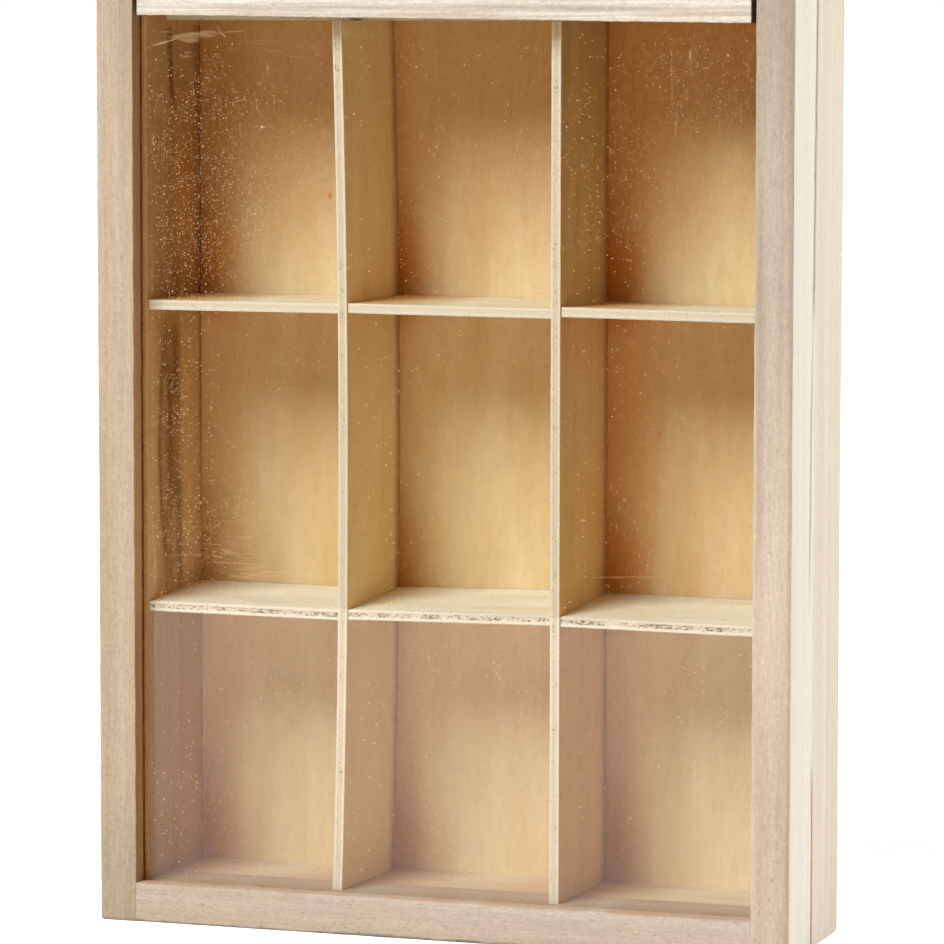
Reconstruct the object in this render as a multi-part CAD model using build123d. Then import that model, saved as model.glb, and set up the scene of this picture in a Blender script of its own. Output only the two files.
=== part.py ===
from build123d import *
import os

# A wooden display case with nine compartments behind a clear pane that lifts out of its grooves.
# Millimetres. X runs left to right, Y front to back and Z up. The origin is on the base, midway
# across the width and the depth.

# --- Driving dimensions -------------------------------------------------------------------------

# The case over all
case_width = 220.0
case_height = 290.0
case_depth = 55.0

# Solid boards
side_thickness = 13.0  # side boards, and the stiles behind the pane groove
floor_thickness = 12.0  # case floor and bottom rail
top_thickness = 13.4
frame_depth = 24.5  # front frame, from its face to the joint with the case behind it
arris = 0.5  # sanded long edges
corner_radius = 1.0  # sanded outer corners, seen from the front

# Pane and grooves
pane_thickness = 2.0
pane_play = 0.3  # between the pane and each cheek of its groove
pane_edge_play = 0.7  # between the pane's upright edges and the groove bottoms
pane_seat_play = 0.3  # under the pane's lower edge
pane_grip = 5.0  # how far the pane reaches into the slide rail
pane_glue = 0.05  # glue line round the pane in the slide rail
lip_width = 11.8  # front lip of each stile
lip_depth = 5.6  # from the front face to the groove
side_groove_reach = 3.5  # groove depth, measured from the lip's inner face
rail_groove_depth = 4.0

# Slide rail: its lower edge is sawn a little out of square
slide_rail_left_height = 11.7
slide_rail_right_height = 13.6
slide_rail_end_play = 0.3
slide_rail_back_play = 0.4

# Back panel
back_thickness = 3.0
rabbet_reach = 6.0  # how far the back panel overlaps each board
back_play = 0.2

# Pins of the back panel
pin_radius = 0.6
pin_length = 10.0
pin_head_radius = 1.2
pin_head_height = 0.5
pin_hole_play = 0.03
pins_per_side = 4
pins_per_end = 2

# Plywood dividers and shelves
plywood_thickness = 3.0
left_compartment_width = 60.3  # at the divider's ends
right_compartment_width = 61.15
divider_setback = 8.5  # from the case front to the dividers' front edges
divider_bow = 2.0  # the left divider bends this much to the right at mid height
divider_skew = 1.2  # the dividers stand this much further right at the back
lower_row_height = 83.5
middle_row_height = 90.0
shelf_setback = 0.6  # shelves stand back from the dividers' front edges
shelf_end_play = 0.1
seat_step = 0.1  # the step that the shelves' seats are counted in

place_tolerance = 1e-4  # an edge lies at a place when it is this near

# --- Places worked out from them ----------------------------------------------------------------

left_x = -case_width / 2
right_x = case_width / 2
front_y = -case_depth / 2
back_y = case_depth / 2
joint_y = front_y + frame_depth
inner_left = left_x + side_thickness
inner_right = right_x - side_thickness
floor_z = floor_thickness
ceiling_z = case_height - top_thickness

lip_x = left_x + lip_width
groove_x = lip_x - side_groove_reach
groove_front_y = front_y + lip_depth
groove_back_y = groove_front_y + pane_thickness + 2 * pane_play
pane_front_y = groove_front_y + pane_play
pane_back_y = pane_front_y + pane_thickness
pane_left = groove_x + pane_edge_play
groove_floor_z = floor_z - rail_groove_depth
pane_top = case_height - slide_rail_left_height + pane_grip

panel_front_y = back_y - back_thickness
divider_front_y = front_y + divider_setback
shelf_front_y = divider_front_y + shelf_setback
shelf_rows = {
    "lower": floor_z + lower_row_height,
    "upper": floor_z + lower_row_height + plywood_thickness + middle_row_height,
}

# How each shelf sits in the hand-built case, in seat steps: the rise of its left end and of its
# right end above the row's level, and the rise of its back edge above its front edge.
shelf_seats = {
    ("lower", "left"): (-1, -5, 21),
    ("lower", "middle"): (-2, 7, 27),
    ("lower", "right"): (5, 0, 27),
    ("upper", "left"): (-2, -1, -1),
    ("upper", "middle"): (1, -2, 3),
    ("upper", "right"): (4, -2, -7),
}


# --- Solid boards -------------------------------------------------------------------------------


def board(x_range, y_range, z_range):
    """A square-edged board between three pairs of coordinates."""
    size = [high - low for low, high in (x_range, y_range, z_range)]
    centre = [(low + high) / 2 for low, high in (x_range, y_range, z_range)]
    return Pos(*centre) * Box(*size)


def soften(solid, axis, radius, *places):
    """Rounds the edges that run along an axis through any of the places, given in the plane across it."""
    across = [name for name in "XYZ" if name != axis]
    chosen = []
    for edge in solid.edges().filter_by(getattr(Axis, axis)):
        centre = edge.center()
        for place in places:
            gaps = [abs(getattr(centre, name) - value) for name, value in zip(across, place)]
            if max(gaps) < place_tolerance:
                chosen.append(edge)
    return fillet(chosen, radius)


def panel_space():
    """The space that the back panel takes, cut as a rabbet out of the four boards round it."""
    return board(
        (inner_left - rabbet_reach, inner_right + rabbet_reach),
        (panel_front_y, back_y),
        (floor_z - rabbet_reach, ceiling_z + rabbet_reach),
    )


def left_stile():
    """Upright of the front frame: a front lip, the pane groove and a wider cheek behind it."""
    stick = board((left_x, inner_left), (front_y, joint_y), (0, case_height))
    relief = board((lip_x, inner_left), (front_y, groove_front_y), (0, case_height))
    groove = board((groove_x, inner_left), (groove_front_y, groove_back_y), (0, case_height))
    stile = stick - relief - groove
    stile = soften(stile, "Z", arris, (left_x, front_y), (lip_x, front_y), (left_x, joint_y))
    return soften(stile, "Y", corner_radius, (left_x, 0), (left_x, case_height))


def bottom_rail():
    """Lower member of the front frame, butted between the stiles, with a groove for the pane."""
    front = board((lip_x, -lip_x), (front_y, groove_front_y), (0, floor_z))
    rear = board((inner_left, inner_right), (groove_front_y, joint_y), (0, floor_z))
    groove = board((lip_x, -lip_x), (groove_front_y, groove_back_y), (groove_floor_z, floor_z))
    return soften(front + rear - groove, "X", arris, (front_y, 0), (front_y, floor_z))


def left_side():
    """Side board of the case, behind the stile and flush with it outside and in."""
    side = board((left_x, inner_left), (joint_y, back_y), (0, case_height))
    side = soften(side, "Z", arris, (left_x, joint_y), (left_x, back_y))
    return soften(side, "Y", corner_radius, (left_x, 0), (left_x, case_height)) - panel_space()


def case_floor():
    """Floor board, level with the bottom rail in front of it."""
    return board((inner_left, inner_right), (joint_y, back_y), (0, floor_z)) - panel_space()


def case_top():
    """Top board, behind the slide rail."""
    return board((inner_left, inner_right), (joint_y, back_y), (ceiling_z, case_height)) - panel_space()


# --- Back panel and its pins --------------------------------------------------------------------


def spread(low, high, count):
    """Evenly spaced places between two ends, half a space in from each."""
    step = (high - low) / count
    return [low + step * (number + 0.5) for number in range(count)]


def pin_places():
    """Where the pins stand, midway across the overlap of the panel and each board."""
    side_x = inner_right + rabbet_reach / 2
    end_z = (floor_z - rabbet_reach / 2, ceiling_z + rabbet_reach / 2)
    places = [(x, z) for x in (-side_x, side_x) for z in spread(floor_z, ceiling_z, pins_per_side)]
    places += [(x, z) for z in end_z for x in spread(inner_left, inner_right, pins_per_end)]
    return places


def pins(play=0.0):
    """Round pins with flat heads, driven in from behind; with play, the holes that they fill."""
    solids = []
    for x, z in pin_places():
        shank = Cylinder(pin_radius + play, pin_length, align=(Align.CENTER, Align.CENTER, Align.MIN))
        head = Cylinder(
            pin_head_radius + play, pin_head_height + play, align=(Align.CENTER, Align.CENTER, Align.MIN)
        )
        solids.append(Pos(x, back_y, z) * Rot(90, 0, 0) * (shank + head))
    return solids


def back_panel():
    """Thin plywood panel, loose in its rabbet by a small play and pinned."""
    panel = board(
        (inner_left - rabbet_reach + back_play, inner_right + rabbet_reach - back_play),
        (panel_front_y, back_y),
        (floor_z - rabbet_reach + back_play, ceiling_z + rabbet_reach - back_play),
    )
    return panel - pins(pin_hole_play)


# --- Pane and slide rail ------------------------------------------------------------------------


def slide_rail():
    """Grip rail on the pane's upper edge, held between the stiles by the pane alone."""
    left = inner_left + slide_rail_end_play
    right = inner_right - slide_rail_end_play
    left_bottom = case_height - slide_rail_left_height
    right_bottom = case_height - slide_rail_right_height
    corners = [
        (left, front_y, left_bottom),
        (right, front_y, right_bottom),
        (right, front_y, case_height),
        (left, front_y, case_height),
    ]
    depth = frame_depth - slide_rail_back_play
    outline = make_face(Polyline(*corners, close=True)).face()
    rail = Solid.extrude(outline, Vector(0, depth, 0))
    groove = board(
        (left, right),
        (pane_front_y - pane_glue, pane_back_y + pane_glue),
        (min(left_bottom, right_bottom), pane_top + pane_glue),
    )
    return rail - groove


def glass_pane():
    """Clear pane in the grooves of the stiles and the bottom rail."""
    pane_bottom = groove_floor_z + pane_seat_play
    return board((pane_left, -pane_left), (pane_front_y, pane_back_y), (pane_bottom, pane_top))


# --- Plywood dividers and shelves ---------------------------------------------------------------


def bow_at(z, bow):
    """Sideways place of a bowed divider at a height: a parabola through its two fixed ends."""
    share = (z - floor_z) / (ceiling_z - floor_z)
    return 4 * bow * share * (1 - share)


def skew_at(y):
    """Sideways place of a divider at a depth, from none at its front edge."""
    return divider_skew * (y - divider_front_y) / (panel_front_y - divider_front_y)


divider_faces = {  # left face at the front edge's ends, and the bow
    "left": (inner_left + left_compartment_width, divider_bow),
    "right": (inner_right - right_compartment_width - plywood_thickness, 0.0),
}


def divider(name):
    """Full-height upright between floor and top, its faces bent to a parabola."""
    face_x, bow = divider_faces[name]
    middle_z = (floor_z + ceiling_z) / 2
    faces = []
    for x in (face_x, face_x + plywood_thickness):
        # The middle control point of the curve stands out by twice the bow
        faces.append(
            Bezier(
                (x, divider_front_y, floor_z),
                (x + 2 * bow, divider_front_y, middle_z),
                (x, divider_front_y, ceiling_z),
            )
        )
    ends = [Line(faces[0] @ end, faces[1] @ end) for end in (0, 1)]
    outline = make_face(faces + ends).face()
    return Solid.extrude(outline, Vector(divider_skew, panel_front_y - divider_front_y, 0))


def column_limits(column, y, z):
    """The two sides of a column of compartments at a depth and a height."""
    left_divider, right_divider = (
        face_x + bow_at(z, bow) + skew_at(y) for face_x, bow in divider_faces.values()
    )
    if column == "left":
        return inner_left, left_divider
    if column == "middle":
        return left_divider + plywood_thickness, right_divider
    return right_divider + plywood_thickness, inner_right


def shelf(row, column):
    """One shelf between the uprights beside it, from just behind their front edges to the back."""
    left_rise, right_rise, back_rise = (steps * seat_step for steps in shelf_seats[row, column])
    level = shelf_rows[row]
    ends = []
    for y, rise in ((shelf_front_y, 0.0), (panel_front_y, back_rise)):
        left, right = column_limits(column, y, level)
        left += shelf_end_play
        right -= shelf_end_play
        left_z = level + left_rise + rise
        right_z = level + right_rise + rise
        corners = [
            (left, y, left_z),
            (right, y, right_z),
            (right, y, right_z + plywood_thickness),
            (left, y, left_z + plywood_thickness),
        ]
        ends.append(make_face(Polyline(*corners, close=True)))
    return loft(ends, ruled=True)


# --- The pieces ---------------------------------------------------------------------------------


def make_parts():
    """Every piece of the case by its name."""
    stile = left_stile()
    side = left_side()
    holes = pins(pin_hole_play)
    parts = {
        "stile_left": stile,
        "stile_right": mirror(stile, Plane.YZ),
        "bottom_rail": bottom_rail(),
        "case_side_left": side - holes,
        "case_side_right": mirror(side, Plane.YZ) - holes,
        "case_floor": case_floor() - holes,
        "case_top": case_top() - holes,
        "back_panel": back_panel(),
        "back_panel_pins": Compound(pins()),
        "slide_rail": slide_rail(),
        "glass_pane": glass_pane(),
    }
    for name in divider_faces:
        parts[f"divider_{name}"] = divider(name)
    for row, column in shelf_seats:
        parts[f"shelf_{row}_{column}"] = shelf(row, column)
    return parts


os.makedirs("parts", exist_ok=True)
for part_name, part in make_parts().items():
    export_step(part, f"parts/{part_name}.step")
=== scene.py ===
import logging
import math
from collections.abc import Callable, Sequence
from dataclasses import dataclass, field, replace
from enum import Enum
from functools import partial

import bmesh
import bpy
import numpy as np
from mathutils import Matrix, Vector


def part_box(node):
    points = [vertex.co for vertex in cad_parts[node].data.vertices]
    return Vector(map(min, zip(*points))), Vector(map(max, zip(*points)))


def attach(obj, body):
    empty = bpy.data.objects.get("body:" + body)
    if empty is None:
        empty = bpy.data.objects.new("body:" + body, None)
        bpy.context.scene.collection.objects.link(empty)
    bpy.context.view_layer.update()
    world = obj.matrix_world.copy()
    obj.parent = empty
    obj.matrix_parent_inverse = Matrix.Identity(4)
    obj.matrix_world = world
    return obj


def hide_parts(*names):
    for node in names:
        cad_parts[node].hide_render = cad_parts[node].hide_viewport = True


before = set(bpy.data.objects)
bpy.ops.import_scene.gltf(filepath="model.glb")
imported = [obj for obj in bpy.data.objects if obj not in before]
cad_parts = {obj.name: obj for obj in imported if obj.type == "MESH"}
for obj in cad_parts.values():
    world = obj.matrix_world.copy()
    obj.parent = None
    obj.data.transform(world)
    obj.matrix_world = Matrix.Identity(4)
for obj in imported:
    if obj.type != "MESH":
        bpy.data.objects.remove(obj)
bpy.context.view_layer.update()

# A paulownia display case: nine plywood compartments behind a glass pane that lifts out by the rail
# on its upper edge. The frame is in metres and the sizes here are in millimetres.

MM = 0.001
WHITE = "#FFFFFF"
LEAST_RADIUS = 0.01  # sharper corners would fold the mesh over
HAIR = 1e-6  # a place that is nearer than this to a line lies on it
log = logging.getLogger("display_case")

Material = bpy.types.Material
NodeTree = bpy.types.NodeTree
Piece = bpy.types.Object
Pair = tuple[float, float]
Triple = tuple[float, float, float]
Colour = tuple[float, float, float, float]
Inputs = dict[str | int, object] | Sequence[object]
Source = bpy.types.Node | bpy.types.NodeSocket  # a node stands for the first of its outputs that is on
Adder = Callable[..., bpy.types.Node]  # add_node with its tree already given


# --- Shared tools -------------------------------------------------------------------------------


def linear(hex_colour: str) -> Colour:
    """Turns an sRGB colour to the linear one that shaders take.

    Args:
        hex_colour: six hex digits after a hash.

    Returns:
        Red, green, blue and an alpha of one.
    """
    channels = [int(hex_colour[start:start + 2], 16) / 255 for start in (1, 3, 5)]
    red, green, blue = (c / 12.92 if c <= 0.04045 else ((c + 0.055) / 1.055) ** 2.4 for c in channels)
    return red, green, blue, 1.0


def add_node(tree: NodeTree, kind: str, inputs: Inputs = (), **settings: object) -> bpy.types.Node:
    """Adds a node, sets its properties and fills its inputs.

    Args:
        tree: the node tree that it goes in.
        kind: the node's type, less "ShaderNode".
        inputs: for an input's name or number, a source to link or a value to set, or else a list of
            them in order. In a colour Mix, 0 is the second colour's share, and 6 and 7 are the colours.
        settings: the node's properties.

    Returns:
        The new node.
    """
    node = tree.nodes.new("ShaderNode" + kind)
    for name, value in settings.items():
        setattr(node, name, value)
    for key, value in inputs.items() if isinstance(inputs, dict) else enumerate(inputs):
        if isinstance(value, bpy.types.Node):
            value = next(output for output in value.outputs if output.enabled)
        if isinstance(value, bpy.types.NodeSocket):
            tree.links.new(value, node.inputs[key])
        else:
            node.inputs[key].default_value = value
    return node


def empty_material(name: str) -> tuple[Material, Adder]:
    """Makes a material with nothing in its node tree.

    Args:
        name: the material's name.

    Returns:
        The material, and what adds a node to it.
    """
    material = bpy.data.materials.new(name)
    material.use_nodes = True
    material.node_tree.nodes.clear()
    return material, partial(add_node, material.node_tree)


def dress(node: str, material: Material) -> None:
    """Puts a material in every slot of a CAD node's object.

    Args:
        node: the node's name.
        material: its finish.
    """
    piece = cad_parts[node]
    if not piece.material_slots:
        piece.data.materials.append(material)
    for slot in piece.material_slots:
        slot.material = material


@dataclass(frozen=True)
class Wander:
    """A slow random drift along an edge, as hand sanding and a worn saw leave it."""

    seed: int
    amplitude: float
    wavelength: float
    waves: int = 5
    shortest: float = 0.25  # the shortest wave's share of the longest

    def along(self, places: np.ndarray) -> np.ndarray:
        """Gives the drift at places along the edge.

        Args:
            places: distances along the edge, in millimetres.

        Returns:
            The drift at each, in the amplitude's unit.
        """
        rng = np.random.default_rng(self.seed)
        lengths = self.wavelength * rng.uniform(self.shortest, 1.0, self.waves)
        phases = rng.uniform(0, math.tau, self.waves)
        waves = np.sin(places[:, None] / lengths * math.tau + phases)
        return self.amplitude * waves.sum(1) / math.sqrt(self.waves)


@dataclass
class Skin:
    """A closed mesh in the making, in millimetres, with a material number for each face."""

    vertices: np.ndarray
    faces: list[tuple[int, ...]]
    slots: list[int] = field(default_factory=list)
    values: dict[str, np.ndarray] = field(default_factory=dict)

    def build(
        self,
        name: str,
        body: str,
        materials: Sequence[Material],
        replaces: Sequence[str],
        slot: str,
        smooth_angle: float = 35.0,
    ) -> Piece:
        """Makes the Blender object, dresses it and seats it on its body.

        Args:
            name: the piece's name.
            body: the CAD body that it moves with.
            materials: its materials, by the numbers in slots.
            replaces: CAD nodes that it stands for.
            slot: not used.
            smooth_angle: edges that turn by more than this many degrees stay sharp.

        Returns:
            The object.
        """
        mesh = bpy.data.meshes.new(name)
        mesh.from_pydata((self.vertices * MM).tolist(), [], self.faces)
        if self.slots:
            mesh.polygons.foreach_set("material_index", self.slots)
        for key, numbers in self.values.items():
            mesh.attributes.new(key, "FLOAT", "POINT").data.foreach_set("value", numbers.astype(np.float32))
        editable = bmesh.new()
        editable.from_mesh(mesh)
        bmesh.ops.recalc_face_normals(editable, faces=editable.faces)
        editable.to_mesh(mesh)
        editable.free()
        mesh.shade_smooth()
        mesh.set_sharp_from_angle(angle=math.radians(smooth_angle))
        for material in materials:
            mesh.materials.append(material)
        piece = bpy.data.objects.new(name, mesh)
        bpy.context.scene.collection.objects.link(piece)
        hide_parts(*replaces)
        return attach(piece, body)


def loft(sections: np.ndarray) -> Skin:
    """Joins equal closed outlines, one after another, into one closed skin.

    Args:
        sections: stations by points by three coordinates.

    Returns:
        The skin, with both ends capped.
    """
    stations, points, _ = sections.shape
    faces: list[tuple[int, ...]] = []
    for station in range(stations - 1):
        low, high = station * points, (station + 1) * points
        for point in range(points):
            after = (point + 1) % points
            faces.append((low + point, low + after, high + after, high + point))
    faces.append(tuple(reversed(range(points))))
    faces.append(tuple((stations - 1) * points + point for point in range(points)))
    return Skin(sections.reshape(-1, 3), faces)


def eased_outline(corners: np.ndarray, radii: np.ndarray, steps: int = 4) -> np.ndarray:
    """Rounds the square corners of an outline at every station.

    Args:
        corners: stations by corners by two coordinates.
        radii: stations by corners.
        steps: flat steps in each rounding.

    Returns:
        Stations by points by two coordinates.
    """
    before = np.roll(corners, 1, axis=1) - corners
    after = np.roll(corners, -1, axis=1) - corners
    before /= np.linalg.norm(before, axis=2, keepdims=True)
    after /= np.linalg.norm(after, axis=2, keepdims=True)
    points = [
        corners + radii[..., None] * ((1 - math.sin(turn)) * before + (1 - math.cos(turn)) * after)
        for turn in np.linspace(0, math.pi / 2, steps + 1)
    ]
    return np.stack(points, axis=2).reshape(corners.shape[0], -1, 2)


def sanded_outline(
    corners: Sequence[tuple[np.ndarray | float, np.ndarray | float, float]],
    places: np.ndarray,
    sanding: Wander,
) -> np.ndarray:
    """Rounds a board's section at every station, each corner a little differently along it.

    Args:
        corners: each corner's two coordinates, which may change along the board, and its radius.
        places: the stations along the board.
        sanding: how the first corner's radius changes, as a share. Each later one has the next seed.

    Returns:
        Stations by points by two coordinates.
    """
    shape = np.zeros((len(places), len(corners), 2))
    radii = np.zeros((len(places), len(corners)))
    for number, (first, second, radius) in enumerate(corners):
        shape[:, number, 0] = first
        shape[:, number, 1] = second
        change = replace(sanding, seed=sanding.seed + number).along(places)
        radii[:, number] = radius * (1 + change)
    return eased_outline(shape, np.maximum(radii, LEAST_RADIUS))


def for_every_point(places: np.ndarray, outline: np.ndarray) -> np.ndarray:
    """Repeats each station's place for every point of its outline, as a third coordinate."""
    return np.broadcast_to(places[:, None, None], outline.shape[:2] + (1,))


def stations_between(low: float, high: float, spacing: float, end_steps: Sequence[float]) -> np.ndarray:
    """Places along a board, closer together near its ends.

    Args:
        low: one end.
        high: the other end.
        spacing: the even distance between them.
        end_steps: extra distances from each end.

    Returns:
        The places in order.
    """
    even = np.linspace(low, high, round((high - low) / spacing) + 1)
    inset = max(end_steps)
    inner = even[(even > low + inset) & (even < high - inset)]
    extra = [low, high, *(low + step for step in end_steps), *(high - step for step in end_steps)]
    return np.unique(np.concatenate([inner, extra]))


# --- Boards and their marks ---------------------------------------------------------------------


class Grain(Enum):
    """Which way a board's fibres run: the axes across, along and through its broad face."""

    UPRIGHT = ("X", "Z", "Y")
    UPRIGHT_SIDE = ("Y", "Z", "X")
    LEVEL = ("Z", "X", "Y")
    LEVEL_FLAT = ("Y", "X", "Z")


def board_place(add: Adder, grain: Grain) -> Source:
    """Gives a surface point's place in its board: across, along and through the fibres.

    Args:
        add: adds a node to the material.
        grain: how the fibres run.

    Returns:
        A vector, in millimetres.
    """
    place = add("TexCoord").outputs["Object"]
    scaled = add("VectorMath", [place, (1 / MM,) * 3], operation="MULTIPLY")
    axes = add("SeparateXYZ", [scaled])
    turned = {number: axes.outputs[name] for number, name in enumerate(grain.value)}
    return add("CombineXYZ", turned)


def in_cells(add: Adder, place: Source, sizes: Triple) -> Source:
    """Measures a place in blobs or cells of a pattern.

    Args:
        add: adds a node to the material.
        place: where each point lies, in millimetres.
        sizes: how long a cell is along each axis of the place.

    Returns:
        The place as a vector whose unit is a cell.
    """
    scale = tuple(1 / size for size in sizes)
    return add("VectorMath", [place, scale], operation="MULTIPLY")


def cloud(
    add: Adder, place: Source, sizes: Triple, detail: float = 2.0, roughness: float = 0.5
) -> Source:
    """Makes a smooth noise whose blobs have given sizes.

    Few of its values lie far from one half, so a MapRange after it picks the part that shows.

    Args:
        add: adds a node to the material.
        place: where each point lies, in millimetres.
        sizes: how long a blob is along each axis of the place.
        detail: how many finer layers lie on it.
        roughness: how strong those layers are.

    Returns:
        The noise, about one half on average.
    """
    noise = {"Vector": in_cells(add, place, sizes), "Scale": 1.0}
    return add("TexNoise", noise | {"Detail": detail, "Roughness": roughness})


def flecks(add: Adder, place: Source, sizes: Triple, share: float, radius: float = 0.34) -> Source:
    """Scatters flecks, at most one to a cell.

    Args:
        add: adds a node to the material.
        place: where each point lies, in millimetres.
        sizes: how long a cell is along each axis of the place.
        share: the share of cells that have a fleck.
        radius: a fleck's half length in its cell.

    Returns:
        One inside a fleck and zero outside it.
    """
    full, all_there = 0.35, 0.4  # the share of the radius that is dark, and of the flecks that are whole
    cells = add("TexVoronoi", {"Vector": in_cells(add, place, sizes), "Scale": 1.0})
    edge = {"Value": cells.outputs["Distance"], "From Min": radius * full, "From Max": radius}
    core = add("MapRange", edge | {"To Min": 1.0, "To Max": 0.0})
    chance = add("SeparateColor", [cells.outputs["Color"]])
    there = {"Value": chance, "From Min": 1 - share, "From Max": 1 - share * all_there}
    return add("Math", [core, add("MapRange", there)], operation="MULTIPLY")


@dataclass(frozen=True)
class Streak:
    """A line or band that runs with the fibres, in the frame's millimetres."""

    across: float
    low: float
    high: float
    width: float
    strength: float = 0.5
    bow: float = 0.0  # how far its middle stands aside
    lean: float = 0.0  # how far its high end stands aside, and its low end the other way
    fade: float = 9.0  # how long its ends take to fade
    mark: str = ""  # its colour, if it isn't the cut's

    def drawn(
        self, add: Adder, aside: Source, along: Source, grit: Source, under: Source, mark: str
    ) -> Source:
        """Draws the streak over a colour.

        Args:
            add: adds a node to the material.
            aside: how far each point lies across the fibres.
            along: how far it lies along them.
            grit: what breaks the streak up.
            under: the colour under it.
            mark: the cut's own colour of marks.

        Returns:
            The colour with the streak.
        """
        middle, half = (self.low + self.high) / 2, (self.high - self.low) / 2
        end = add("Math", [along, middle], operation="SUBTRACT")
        end = add("Math", [end, half], operation="DIVIDE")
        square = add("Math", [end, end], operation="MULTIPLY")
        bowed = add("Math", [square, -self.bow, self.across + self.bow], operation="MULTIPLY_ADD")
        centre = add("Math", [end, self.lean, bowed], operation="MULTIPLY_ADD")
        off = add("Math", [aside, centre], operation="SUBTRACT")
        off = add("Math", [off], operation="ABSOLUTE")
        near = {"Value": off, "From Min": 0.0, "From Max": self.width / 2}
        near |= {"To Min": self.strength, "To Max": 0.0}
        near = add("MapRange", near, interpolation_type="SMOOTHSTEP")
        ends = {"Value": square, "From Min": 1.0, "From Max": max(0.0, 1 - self.fade / half) ** 2}
        mask = add("Math", [near, add("MapRange", ends)], operation="MULTIPLY")
        mask = add("Math", [mask, grit], operation="MULTIPLY")
        return add("Mix", {0: mask, 6: under, 7: linear(self.mark or mark)}, data_type="RGBA")


@dataclass(frozen=True)
class Speck:
    """A pin knot or a bark fleck, in the frame's millimetres."""

    x: float
    y: float
    z: float
    width: float
    height: float
    strength: float
    core: float = 0.3  # the share of it that is fully dark

    def drawn(self, add: Adder, where: Source, under: Source, mark: str) -> Source:
        """Draws the speck over a colour.

        Args:
            add: adds a node to the material.
            where: each point's place in the frame, in metres.
            under: the colour under it.
            mark: the speck's colour.

        Returns:
            The colour with the speck.
        """
        centre = (self.x * MM, self.y * MM, self.z * MM)
        offset = add("VectorMath", [where, centre], operation="SUBTRACT")
        scale = tuple(2 / size / MM for size in (self.width, self.width, self.height))
        scaled = add("VectorMath", [offset, scale], operation="MULTIPLY")
        reach = add("VectorMath", [scaled], operation="LENGTH")
        edge = {"Value": reach, "From Min": self.core, "From Max": 1.0}
        mask = add("MapRange", edge | {"To Min": self.strength, "To Max": 0.0})
        return add("Mix", {0: mask, 6: under, 7: linear(mark)}, data_type="RGBA")


@dataclass(frozen=True)
class Cut:
    """How one board was cut: which way its fibres run, where in the log, and what marks it bears."""

    grain: Grain
    shift: Triple = (0.0, 0.0, 0.0)  # where in the log
    streaks: tuple[Streak, ...] = ()
    specks: tuple[Speck, ...] = ()
    tones: tuple[Pair, ...] = ()  # brightness at places along the fibres
    mark: str = "#5C4024"
    drift: float = 1.6  # how far the fibres wander aside
    inside: Pair | None = None  # the places through the board where marks show
    outside: Triple = (1.0, 1.0, 1.0)  # what lightens the bare wood elsewhere
    wander: Triple = (60.0, 9.0, 60.0)  # the size of the fibres' wandering
    grit: Triple = (0.5, 2.5, 0.5)  # the size of the breaks in a streak
    least_mark: float = 0.5  # how strong a streak still is in its breaks
    grit_edges: Pair = (0.3, 0.6)  # the noise at which a mark is faintest and fullest

    def toned(self, add: Adder, along: Source, colour: Source) -> Source:
        """Makes the board lighter and darker along its fibres.

        Args:
            add: adds a node to the material.
            along: how far each point lies along the fibres.
            colour: the colour to change.

        Returns:
            The changed colour.
        """
        brightest = 2.0  # a ramp's colours stop at one
        first, last = self.tones[0][0], self.tones[-1][0]
        share = add("MapRange", {"Value": along, "From Min": first, "From Max": last})
        ramp = add("ValToRGB", [share])
        for where, _ in self.tones[1:-1]:
            ramp.color_ramp.elements.new((where - first) / (last - first))
        for element, (_, tone) in zip(ramp.color_ramp.elements, self.tones):
            element.color = (*(tone / brightest,) * 3, 1.0)
        tone = add("VectorMath", {0: ramp, "Scale": brightest}, operation="SCALE")
        return add("VectorMath", [colour, tone], operation="MULTIPLY")

    def streaked(
        self, add: Adder, place: Source, across: Source, along: Source, colour: Source
    ) -> Source:
        """Draws the board's streaks, which follow its fibres and are broken up by them.

        Args:
            add: adds a node to the material.
            place: across, along and through the fibres, in millimetres.
            across: the first part of that place.
            along: its second part.
            colour: the colour under the streaks.

        Returns:
            The colour with the streaks.
        """
        drift = add("Math", [cloud(add, place, self.wander), 0.5], operation="SUBTRACT")
        aside = add("Math", [drift, self.drift, across], operation="MULTIPLY_ADD")
        faint, full = self.grit_edges
        grit = cloud(add, place, self.grit, detail=3.0, roughness=0.6)
        grit = {"Value": grit, "From Min": faint, "From Max": full, "To Min": self.least_mark}
        grit = add("MapRange", grit)
        for streak in self.streaks:
            colour = streak.drawn(add, aside, along, grit, colour, self.mark)
        return colour

    def marked(self, add: Adder, place: Source, colour: Source) -> Source:
        """Draws the board's change of tone and its marks over its colour.

        Args:
            add: adds a node to the material.
            place: across, along and through the fibres, in millimetres.
            colour: the colour under the marks.

        Returns:
            The marked colour.
        """
        bare = colour
        across, along, through = add("SeparateXYZ", [place]).outputs
        if self.tones:
            colour = self.toned(add, along, colour)
        if self.streaks:
            colour = self.streaked(add, place, across, along, colour)
        if self.specks:
            where = add("TexCoord").outputs["Object"]
            for speck in self.specks:
                colour = speck.drawn(add, where, colour, self.mark)
        if self.inside:
            past = add("Math", [through, self.inside[0]], operation="GREATER_THAN")
            short = add("Math", [through, self.inside[1]], operation="LESS_THAN")
            within = add("Math", [past, short], operation="MULTIPLY")
            plain = add("VectorMath", [bare, self.outside], operation="MULTIPLY")
            colour = add("Mix", {0: within, 6: plain, 7: colour}, data_type="RGBA")
        return colour


# --- Finishes -----------------------------------------------------------------------------------


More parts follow.
